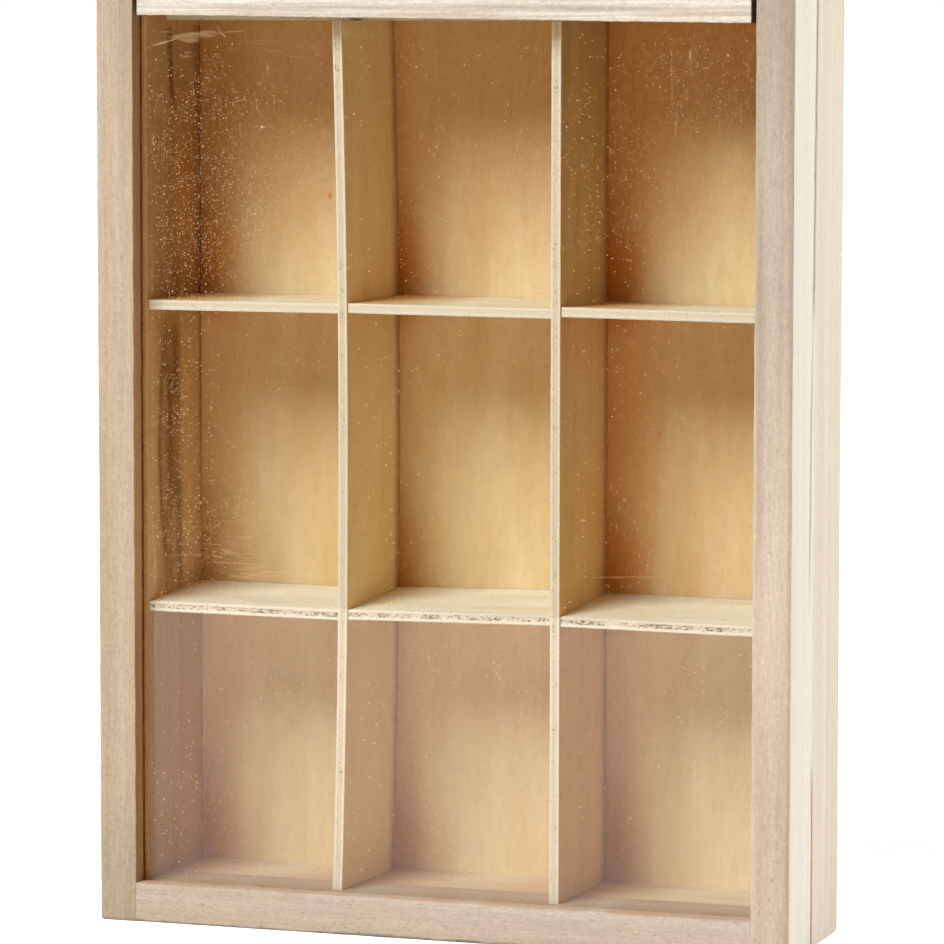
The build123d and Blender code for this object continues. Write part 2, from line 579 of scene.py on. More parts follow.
@dataclass(frozen=True)
class BareWood:
    """Wood left bare, whose relief follows its figure. Each kind gives its own figure."""

    relief: float = 0.04
    relief_strength: float = 0.6
    roughness: float = 0.72
    shine: float = 0.3

    def figure(self, add: Adder, place: Source) -> tuple[Source, Source]:
        """Draws the wood's figure.

        Args:
            add: adds a node to the material.
            place: the point's place in the log, in millimetres.

        Returns:
            Its colour and its height.
        """
        raise NotImplementedError

    def material(self, name: str, cut: Cut) -> Material:
        """Makes the finish of one board, sheet or edge.

        Args:
            name: the material's name.
            cut: how it was cut.

        Returns:
            The material.
        """
        material, add = empty_material(name)
        place = board_place(add, cut.grain)
        in_log = add("VectorMath", [place, cut.shift], operation="ADD")
        colour, height = self.figure(add, in_log)
        bump = {"Height": height, "Strength": self.relief_strength, "Distance": self.relief * MM}
        shader = {"Base Color": cut.marked(add, place, colour), "Normal": add("Bump", bump)}
        shader |= {"Roughness": self.roughness, "Specular IOR Level": self.shine}
        add("OutputMaterial", {"Surface": add("BsdfPrincipled", shader)})
        return material


@dataclass(frozen=True)
class LongGrain(BareWood):
    """A face along the fibres, with growth bands and a mottle."""

    pale: str = "#CBBEA8"
    band: str = "#B5A285"
    band_width: float = 4.5
    band_run: float = 45.0  # a band's length, in widths
    band_detail: Pair = (3.0, 0.6)  # how many finer layers it has, and how strong they are
    band_edges: Pair = (0.36, 0.66)  # the noise at which pale wood ends and a band is full
    band_share: float = 0.55
    mottle: float = 0.11
    mottling: Triple = (0.75, 1.3, 0.75)
    fibre: Triple = (0.7, 8.0, 0.7)  # real fibres are finer; drawn coarser so that they show
    uneven: Pair = (1.0, 1.9)  # the noise that gives the darkest and the palest wood
    held: bool = True  # whether noise past those two changes it no further
    dark_mottle: float = 1.0  # how much further it darkens than it lightens

    def banded(self, add: Adder, place: Source) -> Source:
        """Draws the growth bands.

        Args:
            add: adds a node to the material.
            place: the point's place in the log, in millimetres.

        Returns:
            The wood's colour, with bands alone.
        """
        ring = (self.band_width, self.band_run * self.band_width, self.band_width)
        start, full = self.band_edges
        bands = {"Value": cloud(add, place, ring, *self.band_detail), "From Min": start, "From Max": full}
        bands = add("MapRange", bands | {"To Max": self.band_share})
        return add("Mix", {0: bands, 6: linear(self.pale), 7: linear(self.band)}, data_type="RGBA")

    def mottled(self, add: Adder, colour: Source, uneven: Source) -> Source:
        """Makes a colour uneven.

        Args:
            add: adds a node to the material.
            colour: the colour to change.
            uneven: the noise that changes it.

        Returns:
            The uneven colour.
        """
        darkest, palest = self.uneven
        tone = {"Value": uneven, "From Min": darkest, "From Max": palest}
        tone |= {"To Min": 1 - self.dark_mottle * self.mottle, "To Max": 1 + self.mottle}
        tone = add("MapRange", tone, clamp=self.held)
        return add("VectorMath", {0: colour, "Scale": tone}, operation="SCALE")


@dataclass(frozen=True)
class Paulownia(LongGrain):
    """Planed and lightly sanded paulownia, a pale wood with open pores.

    Planing leaves it matt and finely mottled, with soft growth bands. The pores show as short dark
    dashes along the fibres, and the rays as paler flecks.
    """

    pore: str = "#6E543A"
    ray: str = "#F6EAD6"
    mottling_weight: float = 1.9  # against the fibres'
    dark_mottle: float = 1.5
    pore_width: float = 0.5  # real pores are 0.2 mm; drawn coarser so that they show
    pore_length: float = 2.6
    pore_share: float = 0.2  # of the cells that could have one
    pore_dark: float = 0.7
    pore_crowd: Triple = (4.0, 30.0, 4.0)  # the size of the places where pores lie close
    crowd_edges: Pair = (0.38, 0.6)  # the noise between them and in them
    pore_sparse: float = 0.25  # how dark those between them are, against those in them
    ray_cell: Triple = (0.7, 1.3, 0.7)
    ray_radius: float = 0.45  # in its cell
    ray_share: float = 0.1
    ray_pale: float = 0.2

    def figure(self, add: Adder, place: Source) -> tuple[Source, Source]:
        """Draws growth bands, mottle, pores and rays.

        Args:
            add: adds a node to the material.
            place: the point's place in the log, in millimetres.

        Returns:
            The wood's colour and its height.
        """
        fine = cloud(add, place, self.mottling, detail=3.0, roughness=0.75)
        uneven = [fine, self.mottling_weight, cloud(add, place, self.fibre)]
        uneven = add("Math", uneven, operation="MULTIPLY_ADD")
        toned = self.mottled(add, self.banded(add, place), uneven)
        pores = flecks(add, place, (self.pore_width, self.pore_length, self.pore_width), self.pore_share)
        between, within = self.crowd_edges
        crowd = {"Value": cloud(add, place, self.pore_crowd), "From Min": between, "From Max": within}
        crowd = add("MapRange", crowd | {"To Min": self.pore_sparse})
        pores = add("Math", [pores, crowd], operation="MULTIPLY")
        dark = add("Math", [pores, self.pore_dark], operation="MULTIPLY")
        pored = add("Mix", {0: dark, 6: toned, 7: linear(self.pore)}, data_type="RGBA")
        rays = flecks(add, place, self.ray_cell, self.ray_share, self.ray_radius)
        rays = add("Math", [rays, self.ray_pale], operation="MULTIPLY")
        colour = add("Mix", {0: rays, 6: pored, 7: linear(self.ray)}, data_type="RGBA")
        return colour, add("Math", [uneven, pores], operation="SUBTRACT")


@dataclass(frozen=True)
class BasswoodVeneer(LongGrain):
    """Rotary-cut basswood veneer, the smooth face of thin plywood.

    Peeling a log gives broad, barely darker bands and an almost even face with a faint mottle. It
    is left bare and matt.
    """

    relief: float = 0.015
    relief_strength: float = 0.5
    roughness: float = 0.66
    pale: str = "#ECD8AE"
    band: str = "#E1C590"
    band_width: float = 9.0
    band_run: float = 7.0
    band_detail: Pair = (4.0, 0.55)
    band_edges: Pair = (0.32, 0.7)
    band_share: float = 1.0
    mottle: float = 0.06
    mottling: Triple = (0.7, 1.1, 0.7)
    fibre: Triple = (2.2, 6.0, 2.2)
    uneven: Pair = (0.7, 1.3)
    held: bool = False

    def figure(self, add: Adder, place: Source) -> tuple[Source, Source]:
        """Draws broad bands and a faint mottle.

        Args:
            add: adds a node to the material.
            place: the point's place in the log, in millimetres.

        Returns:
            The veneer's colour and its height.
        """
        fine = cloud(add, place, self.mottling, detail=3.0, roughness=0.7)
        uneven = add("Math", [fine, cloud(add, place, self.fibre)], operation="ADD")
        return self.mottled(add, self.banded(add, place), uneven), fine


@dataclass(frozen=True)
class SawnPlyEdge(BareWood):
    """The sawn edge of three-ply basswood.

    The two face veneers show long grain as pale lines. The core between them shows end grain, which
    the saw tears into grey-brown pits.
    """

    relief: float = 0.08
    roughness: float = 0.8
    shine: float = 0.25
    veneer: str = "#E5DFD0"
    core: str = "#DBCDB6"
    torn: str = "#7D684C"
    core_low: float = 0.28  # where the core starts and ends in the sheet's thickness
    core_high: float = 0.74
    ragged: float = 0.16  # how far the core's borders stray
    border: Pair = (0.05, 0.11)  # where a border starts and ends, with that straying
    torn_share: float = 0.3  # how dark the pits are
    torn_cover: float = 0.5  # how much of the core they take
    pit_width: float = 0.45
    pit_length: float = 1.3
    pit_from: Pair = (0.98, 0.45)  # the noise that makes a pit at no cover, and its fall to full cover
    pit_rim: float = 0.12  # how soft a pit's rim is
    patch: Triple = (9.0, 5.0, 9.0)  # the size of the places where pits lie close
    patchy: float = 0.45  # how far those places gather the pits

    def figure(self, add: Adder, place: Source) -> tuple[Source, Source]:
        """Draws the plies and the pits in the core.

        Args:
            add: adds a node to the material.
            place: the point's place in the log, in millimetres.

        Returns:
            The edge's colour and its height.
        """
        ply = add("Attribute", attribute_name="ply").outputs["Fac"]
        pit = (self.pit_width, self.pit_length, self.pit_width)
        pits = cloud(add, place, pit, detail=3.0, roughness=0.65)
        level = add("Math", [pits, self.ragged, ply], operation="MULTIPLY_ADD")
        near, far = self.border
        lower = {"Value": level, "From Min": self.core_low + near, "From Max": self.core_low + far}
        upper = {"Value": level, "From Min": self.core_high + far, "From Max": self.core_high + near}
        core = add("Math", [add("MapRange", lower), add("MapRange", upper)], operation="MULTIPLY")
        plies = add("Mix", {0: core, 6: linear(self.veneer), 7: linear(self.core)}, data_type="RGBA")
        gathered = cloud(add, place, self.patch)
        gathered = add("Math", [gathered, self.patchy, pits], operation="MULTIPLY_ADD")
        bare, fall = self.pit_from
        start = bare - fall * self.torn_cover
        tear = {"Value": gathered, "From Min": start, "From Max": start + self.pit_rim}
        torn = [core, add("MapRange", tear | {"To Max": self.torn_share})]
        torn = add("Math", torn, operation="MULTIPLY")
        return add("Mix", {0: torn, 6: plies, 7: linear(self.torn)}, data_type="RGBA"), pits


@dataclass(frozen=True)
class Smear:
    """A mark on the glass: an ellipse of fine strokes or motes, in the frame's millimetres."""

    x: float
    z: float
    length: float
    height: float
    angle: float = 0.0  # degrees, up to the right
    cover: float = 0.5  # how much of the ellipse the strokes or motes fill
    strength: float = 0.3
    edge: float = 0.5  # where the fade to the rim starts

    def within(self, add: Adder, place: Source) -> Source:
        """Finds where the mark lies.

        Args:
            add: adds a node to the material.
            place: the point's place in millimetres.

        Returns:
            One within the mark's ellipse, falling to zero at its rim.
        """
        turn = math.radians(self.angle)
        centre = (self.x, self.z, 0.0)
        offset = add("VectorMath", [place, centre], operation="SUBTRACT")
        ahead = [offset, (2 / self.length * math.cos(turn), 2 / self.length * math.sin(turn), 0.0)]
        aside = [offset, (-2 / self.height * math.sin(turn), 2 / self.height * math.cos(turn), 0.0)]
        along = add("VectorMath", ahead, operation="DOT_PRODUCT")
        across = add("VectorMath", aside, operation="DOT_PRODUCT")
        across = add("Math", [across, across], operation="MULTIPLY")
        square = add("Math", [along, along, across], operation="MULTIPLY_ADD")
        return add("MapRange", {"Value": square, "From Min": 1.0, "From Max": self.edge**2})


@dataclass(frozen=True)
class FloatGlass:
    """Clear float glass that has been handled and stood in dust.

    Light goes straight through it. Each face mirrors a few hundredths of what stands before it.
    Dust shows as pale points, and wiped dirt and scuffs as pale strokes.
    """

    mirrored: float = 0.045  # by each face, head on
    tint: str = "#FDFEFC"
    dust: str = "#E6C89C"
    mote: float = 0.52  # a mote's width; real dust is finer and is drawn coarser so that it shows
    motes_apart: float = 0.8
    mote_widths: Pair = (0.5, 1.5)  # the narrowest and the widest, as shares of that width
    mote_glints: Pair = (0.3, 0.85)  # how bright the dullest and the brightest are
    dust_share: float = 0.05  # of the places that a mote could take
    clump: Triple = (6.0, 6.0, 6.0)  # the size of the places where dust gathers
    clump_edges: Pair = (0.34, 0.66)  # the noise between them and in them
    clump_shares: Pair = (0.3, 1.7)  # how much dust lies between them and in them
    dullness: float = 4.0  # the higher it is, the fewer motes are bright
    stroke: Pair = (6.0, 0.42)  # a wiped stroke's length and width
    stroke_from: Pair = (0.72, 0.45)  # the noise that makes a stroke at no cover, and its fall to full cover
    stroke_rim: float = 0.1  # how soft a stroke's rim is
    smears: tuple[Smear, ...] = ()
    dusty: tuple[Smear, ...] = ()  # where the motes lie thick

    def motes(self, add: Adder, place: Source) -> Source:
        """Scatters dust over the glass, thick where it has settled.

        Args:
            add: adds a node to the material.
            place: the point's place in millimetres.

        Returns:
            The share covered by dust at each point.
        """
        cells = {"Vector": place, "Scale": 1 / self.motes_apart}
        cells = add("TexVoronoi", cells, voronoi_dimensions="2D")
        which, how_wide, how_bright = add("SeparateColor", [cells.outputs["Color"]]).outputs
        share: Source | float = self.dust_share
        for patch in self.dusty:
            share = add("Math", [patch.within(add, place), patch.cover, share], operation="MULTIPLY_ADD")
        least, most = self.clump_shares
        between, within = self.clump_edges
        clump = {"Value": cloud(add, place, self.clump), "From Min": between, "From Max": within}
        clump = add("MapRange", clump | {"To Min": least, "To Max": most})
        share = add("Math", [share, clump], operation="MULTIPLY")
        there = add("Math", [which, share], operation="LESS_THAN")
        half = self.mote / 2 / self.motes_apart
        narrow, wide = self.mote_widths
        radius = {"Value": how_wide, "To Min": half * narrow, "To Max": half * wide}
        radius = add("MapRange", radius)
        mote = {"Value": cells.outputs["Distance"], "From Min": radius, "From Max": 0.0}
        few_bright = add("Math", [how_bright, self.dullness], operation="POWER")
        dull, bright = self.mote_glints
        glint = add("MapRange", {"Value": few_bright, "To Min": dull, "To Max": bright})
        mote = add("Math", [add("MapRange", mote), glint], operation="MULTIPLY")
        return add("Math", [mote, there], operation="MULTIPLY", use_clamp=True)

    def dirt(self, add: Adder) -> Source:
        """Draws how much of the glass dust and wiped dirt cover.

        Args:
            add: adds a node to the material.

        Returns:
            The share covered at each point.
        """
        place = board_place(add, Grain.UPRIGHT)
        long, wide = self.stroke
        level = cloud(add, place, (long, wide, long), detail=3.0, roughness=0.6)
        upright = cloud(add, place, (wide, long, long), detail=3.0, roughness=0.6)
        bare, fall = self.stroke_from
        dirt = self.motes(add, place)
        for smear in self.smears:
            strokes = upright if abs(smear.angle) > 45 else level  # whichever lies nearer to it
            start = bare - fall * smear.cover
            cover = {"Value": strokes, "From Min": start, "From Max": start + self.stroke_rim}
            cover = add("MapRange", cover | {"To Max": smear.strength})
            mark = add("Math", [smear.within(add, place), cover], operation="MULTIPLY")
            dirt = add("Math", [dirt, mark], operation="MAXIMUM")
        return dirt

    def material(self, name: str, dirty: bool) -> Material:
        """Makes the finish of one of the pane's broad faces.

        Args:
            name: the material's name.
            dirty: whether the face bears the dust and smears.

        Returns:
            The material.
        """
        material, add = empty_material(name)
        facing = add("LayerWeight", {"Blend": 0.5}).outputs["Facing"]
        glancing = add("Math", [facing, 5.0], operation="POWER")  # Schlick's rule
        fresnel = add("MapRange", {"Value": glancing, "To Min": self.mirrored})
        clear = add("BsdfTransparent", {"Color": linear(self.tint)})
        mirror = add("BsdfGlossy", {"Roughness": 0.0})
        shown = add("MixShader", [fresnel, clear, mirror])
        if dirty:
            dust = add("BsdfDiffuse", {"Color": linear(self.dust)})
            shown = add("MixShader", [self.dirt(add), shown, dust])
        add("OutputMaterial", {"Surface": shown})
        return material


@dataclass(frozen=True)
class GroundGlassEdge:
    """The seamed edge of cut float glass: a greenish, half-frosted band."""

    colour: str = "#B9CFC4"
    roughness: float = 0.45
    clear: float = 0.5  # the share of light that goes into the glass
    grit: Triple = (0.25, 0.25, 0.25)  # the size of the marks that the belt leaves
    relief: float = 0.03
    relief_strength: float = 0.4

    def material(self, name: str) -> Material:
        """Makes the finish of the pane's narrow edges.

        Args:
            name: the material's name.

        Returns:
            The material.
        """
        material, add = empty_material(name)
        marks = cloud(add, board_place(add, Grain.UPRIGHT), self.grit)
        bump = {"Height": marks, "Strength": self.relief_strength, "Distance": self.relief * MM}
        bump = add("Bump", bump)
        shader = {"Base Color": linear(self.colour), "Roughness": self.roughness, "Normal": bump}
        shader = add("BsdfPrincipled", shader | {"Transmission Weight": self.clear})
        add("OutputMaterial", {"Surface": shader})
        return material


@dataclass(frozen=True)
class BrightSteel:
    """Drawn and cropped steel wire: bright, with the die's fine marks and a dull crop."""

    colour: str = "#B9B7B2"
    roughness: Pair = (0.24, 0.54)  # along the smoothest and the roughest marks
    marks: Triple = (0.3, 0.3, 0.3)  # their size; real ones are finer and are drawn so that they show

    def material(self, name: str) -> Material:
        """Makes the finish of the pins.

        Args:
            name: the material's name.

        Returns:
            The material.
        """
        material, add = empty_material(name)
        marks = cloud(add, board_place(add, Grain.UPRIGHT), self.marks, detail=3.0)
        smooth, rough = self.roughness
        roughness = add("MapRange", {"Value": marks, "To Min": smooth, "To Max": rough})
        shader = {"Base Color": linear(self.colour), "Roughness": roughness, "Metallic": 1.0}
        add("OutputMaterial", {"Surface": add("BsdfPrincipled", shader)})
        return material


# --- Marks that several boards share ------------------------------------------------------------


LEFT_WALL = Cut(  # the wall that shows most: a heart streak down its front, painted shade in its back corner, and painted light and shade that step at the shelves' heights
    Grain.UPRIGHT_SIDE,
    (0.0, 40.0, 20.0),
    (
        Streak(0.3, 248, 276, 8.0, 0.9, lean=-1.2, fade=4.0),
        Streak(1.2, 222, 258, 8.0, 0.45),
        Streak(0.6, 229, 262, 1.6, 0.35),
        Streak(2.2, 186, 227, 9.0, 0.5, lean=-1.0),
        Streak(1.9, 191, 223, 1.4, 0.35),
        # from here on, the wide patches that start and stop at the shelves' heights are painted light and
        # painted shade of each compartment; the narrow lines are the board's own streaks
        Streak(21.0, 236, 276, 12.0, 0.3),
        Streak(7.0, 190, 276, 30.0, 0.15),
        Streak(14.0, 184, 264, 44.0, 1.0, fade=30.0, mark="#BC8640"),
        Streak(-16.0, 94, 192, 18.0, 0.9, fade=8.0, mark="#E0CAA8"),
        Streak(15.0, 94, 192, 20.0, 0.5, fade=20.0, mark="#DCC49C"),
        Streak(10.0, -30, 99, 70.0, 0.95, fade=12.0, mark="#CA9A48"),
        Streak(25.0, 140, 192, 10.0, 0.6, fade=14.0),
        Streak(-2.0, 99, 188, 24.0, 0.5, mark="#7A4418"),
        Streak(3.6, 122, 180, 9.0, 0.5),
        Streak(-17.0, 184, 214, 20.0, 0.35, fade=14.0, mark="#E8C89A"),
        Streak(-4.5, 106, 182, 6.0, 0.65, -5.1, -0.5),
        Streak(-8.0, 126, 166, 1.2, 0.3, -1.6),
        Streak(-1.0, 122, 174, 9.0, 0.7, lean=-0.8),
        Streak(2.8, 156, 188, 10.0, 0.65),
        Streak(-4.6, 162, 188, 5.0, 0.35),
        Streak(5.9, 99, 138, 9.0, 0.65),
        Streak(1.5, 6, 34, 11.0, 0.25),
        Streak(6.8, 36, 96, 4.0, 0.18),
        Streak(-10.5, 56, 96, 3.0, 0.12),
        Streak(-3.0, -10, 300, 1.0, 0.45),
        # painted shade in the corner with the back panel
        Streak(24.8, -10, 300, 5.0, 0.55),
        Streak(24.0, 184, 300, 15.0, 0.5),
    ),
    # brightness that steps at the shelves' heights: painted light and shade of each compartment
    tones=(
        (0, 0.78), (21, 0.8), (35, 0.92), (60, 0.97), (94, 0.97), (97, 1.0), (120, 1.16), (150, 1.26),
        (187, 1.32), (190, 0.8), (215, 0.9), (250, 1.05), (290, 1.2),
    ),
    mark="#5E350F",
    inside=(-97.25, 97.25),
    outside=(1.25, 1.81, 2.93),  # the wood's own colour, without the inner face's painted shade
)

JOINT = tuple(  # old glue along the joint of a stile and the side behind it
    replace(streak, mark="#86683C")
    for streak in (
        Streak(-3.7, 186, 292, 4.2, 0.95, -0.3, 1.2),
        Streak(-5.9, 98, 194, 3.2, 0.7, -1.0, 1.05, 30.0),
        Streak(-3.2, -6, 58, 3.4, 0.85, 0.9, -0.4),
    )
)
KNOT_AND_SHADE_BROWN = "#7A4A1C"  # the dividers' specks, and the painted shade at the shelves' backs and in their corners
INNER_WOOD = Paulownia(pale="#C9A87C", band="#AC895D", pore="#5F4020")  # darker and more orange than the outside wood: painted shade of the case's inside


# --- The case's own sizes -----------------------------------------------------------------------


class Side(Enum):
    """A side of the case, as one faces it."""

    LEFT = "left"
    RIGHT = "right"


class Column(Enum):
    """A column of compartments."""

    LEFT = "left"
    MIDDLE = "middle"
    RIGHT = "right"


@dataclass(frozen=True)
class CaseSizes:
    """Sizes that several boards share."""

    lip_width: float = 11.8
    lip_depth: float = 5.6
    side_groove_reach: float = 3.5
    rail_groove_depth: float = 4.0
    pane_play: float = 0.3
    pane_glue: float = 0.05
    arris: float = 0.5
    corner_radius: float = 1.0
    groove_mouth: float = 0.12  # how far the groove's front arris is eased
    groove_corner: float = 0.1


def box(node: str) -> tuple[np.ndarray, np.ndarray]:
    """Gives a CAD node's lowest and highest corners in millimetres."""
    low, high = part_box(node)
    return np.array(low) / MM, np.array(high) / MM


# --- The front frame ----------------------------------------------------------------------------


@dataclass(frozen=True)
class Crack:
    """A glue joint that has opened at a board's lower end."""

    height: float = 0.0
    gap: float = 0.0
    depth: float = 4.0
    taper: float = 3.0  # it closes over the top third of its height

    def at(self, places: np.ndarray) -> np.ndarray:
        """Gives how far the joint stands open.

        Args:
            places: heights in millimetres.

        Returns:
            The gap at each.
        """
        if not self.height:
            return np.zeros_like(places)
        share = np.clip(1 - places / self.height, 0, 1)
        return self.gap * np.clip(share * self.taper, 0, 1)


@dataclass(frozen=True)
class Stile:
    """An upright of the front frame: a front lip, the pane's groove and a wider cheek."""

    side: Side
    finishes: tuple[Material, ...]  # the front's, then in the order of faces_on below
    seed: int
    sizes: CaseSizes = CaseSizes()
    crack: Crack = Crack()
    spacing: float = 1.6
    end_steps: tuple[float, ...] = (0.08, 0.2, 0.4, 0.7, 1.0)
    lip_arris: float = 0.3
    cheek_arrises: Pair = (0.25, 0.15)  # its front one and its back one
    glued_arris: float = 0.08
    outer_drift: Pair = (0.02, 60.0)  # how far a line strays, and over what length
    lip_drift: Pair = (0.06, 40.0)
    front_drift: Pair = (0.03, 30.0)
    sanding: Pair = (0.18, 25.0)  # by what share the roundings change, and over what length
    faces_on: tuple[range, ...] = (  # the outline's faces on each part
        range(-3, 2),  # the outer edge, on either side of the outline's start
        range(14, 26),  # the groove and the cheek's front
        range(9, 14),  # the lip's edge towards the opening
        range(26, 34),  # the cheek's side
    )

    def corners(self, places: np.ndarray) -> list[tuple[np.ndarray | float, np.ndarray | float, float]]:
        """Works out the left stile's section, from its outer front arris round by the groove.

        Args:
            places: the stations' heights.

        Returns:
            Each corner's place across and in depth at every station, and its radius.
        """
        sizes = self.sizes
        low, high = box("stile_left")
        _, pane_high = box("glass_pane")
        round_end = sizes.corner_radius
        from_end = np.minimum(places - low[2], high[2] - places)
        bend = np.clip(round_end - from_end, 0, None)
        outer = low[0] + round_end - np.sqrt(round_end**2 - bend**2)
        outer = outer + Wander(self.seed, *self.outer_drift).along(places)
        lip = low[0] + sizes.lip_width
        lip_line = lip + Wander(self.seed + 1, *self.lip_drift).along(places)
        lip_front = low[1] + Wander(self.seed + 2, *self.front_drift).along(places)
        groove = lip - sizes.side_groove_reach
        groove_front = low[1] + sizes.lip_depth
        groove_back = pane_high[1] + sizes.pane_play
        cheek_front, cheek_back = self.cheek_arrises
        return [
            (outer, low[1], sizes.arris),
            (lip_line, lip_front, self.lip_arris),
            (lip_line, groove_front, sizes.groove_mouth),
            (groove, groove_front, sizes.groove_corner),
            (groove, groove_back, sizes.groove_corner),
            (high[0], groove_back, cheek_front),
            (high[0], high[1], cheek_back),
            (low[0] + self.crack.depth, high[1], LEAST_RADIUS),
            (outer, high[1] - self.crack.at(places), self.glued_arris),
        ]

    def build(self) -> Piece:
        """Lofts the upright from its lower end to its upper end.

        Returns:
            The object, which stands for the CAD stile.
        """
        low, high = box("stile_left")
        places = stations_between(low[2], high[2], self.spacing, self.end_steps)
        outline = sanded_outline(self.corners(places), places, Wander(self.seed + 10, *self.sanding))
        if self.side is Side.RIGHT:
            outline[..., 0] *= -1
        skin = loft(np.concatenate([outline, for_every_point(places, outline)], axis=2))
        slots = np.zeros(outline.shape[1], int)
        for slot, faces in enumerate(self.faces_on, start=1):
            slots[list(faces)] = slot
        skin.slots = slots.tolist() * (len(places) - 1) + [0, 0]
        name = f"stile_{self.side.value}"
        return skin.build(f"{name}_board", "case", self.finishes, [name], "frame_wood")


@dataclass(frozen=True)
class BottomRail:
    """The front frame's lower member, butted between the stiles."""

    wood: Paulownia = Paulownia(pale="#C5BCAE", band="#B0A08A")
    cut: Cut = Cut(
        Grain.LEVEL,
        (5.0, 160.0, 0.0),
        (
            Streak(0.0, -200, 200, 2.4, 0.9, mark="#4A443A"),  # painted contact shade along the foot
            Streak(12.2, -200, 200, 2.0, 0.8, mark="#B08C66"),
        ),
    )
    sizes: CaseSizes = CaseSizes()
    spacing: float = 1.6
    end_steps: Pair = (0.1, 0.3)
    seed: int = 40
    sag: Pair = (0.04, 50.0)  # how far its top strays, and over what length
    sanding: Pair = (0.2, 25.0)  # by what share the roundings change, and over what length
    back_arrises: Pair = (0.2, 0.06)  # behind the groove, and against the case

    def build(self) -> Piece:
        """Lofts the rail from the left stile to the right one.

        Returns:
            The object, which stands for the CAD rail.
        """
        sizes = self.sizes
        low, high = box("bottom_rail")
        _, pane_high = box("glass_pane")
        stile_low, _ = box("stile_left")
        floor_low, _ = box("case_floor")
        groove_front = low[1] + sizes.lip_depth
        groove_back = pane_high[1] + sizes.pane_play
        groove_floor = high[2] - sizes.rail_groove_depth
        end = abs(stile_low[0] + sizes.lip_width)
        places = stations_between(-end, end, self.spacing, self.end_steps)
        sag = Wander(self.seed, *self.sag).along(places)
        inner, hidden = self.back_arrises
        corners = [
            (low[1], low[2], sizes.arris),
            (low[1], high[2] + sag, sizes.arris),
            (groove_front, high[2] + sag, sizes.groove_mouth),
            (groove_front, groove_floor, sizes.groove_corner),
            (groove_back, groove_floor, sizes.groove_corner),
            (groove_back, high[2] + sag / 2, inner),
            (high[1], high[2], hidden),
            (high[1], low[2], hidden),
        ]
        outline = sanded_outline(corners, places, Wander(self.seed + 5, *self.sanding))
        across = for_every_point(places, outline)
        cheek = abs(floor_low[0])
        behind_lip = outline[..., :1] > groove_front + HAIR
        across = np.where(behind_lip, np.clip(across, -cheek, cheek), across)
        skin = loft(np.concatenate([across, outline], axis=2))
        finish = self.wood.material("paulownia_bottom_rail", self.cut)
        return skin.build("bottom_rail_board", "case", [finish], ["bottom_rail"], "frame_wood")


@dataclass(frozen=True)
class FrontFrame:
    """The two stiles and the bottom rail between them, each from its own board."""

    left_wood: Paulownia = Paulownia(pale="#BDB099", band="#A89679")
    right_wood: Paulownia = Paulownia(pale="#B9B2A3", band="#A59881")
    # paler than the same board's front: painted light on the outer edge
    edge_wood: Paulownia = Paulownia(
        pale="#E1E4D7", band="#D7D6C6", pore="#A08B70", pore_share=0.08, mottle=0.05
    )
    # paler than the inner wood: painted light on the cheek's front, where the lip casts its shadow
    groove_wood: Paulownia = Paulownia(pale="#E6B788", band="#CC9B66", pore="#5F4020")
    inner_wood: Paulownia = INNER_WOOD
    groove_bottom: float = 98.8  # how far from the middle the painted shade line in the grooves lies
    left_cut: Cut = Cut(
        Grain.UPRIGHT,
        (11.0, 3.0, 0.0),
        # darkened over its lowest 1.2 mm as painted contact shade
        tones=((0, 0.5), (1.2, 0.85), (20, 0.87), (50, 1.0), (240, 1.0), (265, 0.92), (286, 0.9)),
    )
    right_cut: Cut = Cut(
        Grain.UPRIGHT,
        (-40.0, 70.0, 0.0),
        (Streak(109.4, -10, 300, 2.6, 0.45), Streak(99.8, 105, 240, 2.8, 0.4, fade=30.0)),
        # darkened over its lowest 1.2 mm as painted contact shade
        tones=(
            (0, 0.7), (1.2, 1.2), (18, 1.25), (49, 1.22), (85, 1.33), (122, 1.3), (158, 1.14), (195, 1.0),
            (232, 1.0), (268, 0.9), (286, 0.88),
        ),
        mark="#8E8275",
    )
    lip_cut: Cut = Cut(
        Grain.UPRIGHT_SIDE,
        LEFT_WALL.shift,
        # painted shade over the lip's narrow inner face, darkest in the top row
        tones=((0, 0.75), (94, 0.8), (100, 0.85), (187, 0.8), (195, 0.65), (286, 0.65)),
    )

    def stile_finishes(
        self, side: Side, shared: tuple[Material, Material]
    ) -> tuple[Material, ...]:
        """Makes one stile's finishes.

        Args:
            side: the side that it stands on.
            shared: the finishes of the lips and of the cheeks' sides, which both stiles have.

        Returns:
            The finishes of its front, its outer edge and its groove, and then the shared ones.
        """
        wood, cut, dirt = {
            Side.LEFT: (self.left_wood, self.left_cut, -self.groove_bottom),
            Side.RIGHT: (self.right_wood, self.right_cut, self.groove_bottom),
        }[side]
        edge = Cut(Grain.UPRIGHT_SIDE, cut.shift, JOINT, drift=0.9)
        # a painted shade line deep in the groove
        dirty = (Streak(dirt, -10, 300, 1.0, 1.0),)
        groove = Cut(Grain.UPRIGHT, (3.0, 40.0, 20.0), dirty, mark="#4A1E04", drift=0.3)
        return (
            wood.material(f"paulownia_stile_{side.value}", cut),
            self.edge_wood.material(f"paulownia_edge_{side.value}", edge),
            self.groove_wood.material(f"paulownia_groove_{side.value}", groove),
            *shared,
        )

    def build(self) -> list[Piece]:
        """Builds the frame's three boards.

        Returns:
            The left stile, the right one and the bottom rail.
        """
        lip = self.inner_wood.material("paulownia_lip", self.lip_cut)
        inner = self.inner_wood.material("paulownia_inner", LEFT_WALL)
        opened = Crack(height=52.0, gap=0.35)
        return [
            Stile(Side.LEFT, self.stile_finishes(Side.LEFT, (lip, inner)), seed=11).build(),
            Stile(Side.RIGHT, self.stile_finishes(Side.RIGHT, (lip, inner)), seed=21, crack=opened).build(),
            BottomRail().build(),
        ]


# --- Plywood ------------------------------------------------------------------------------------


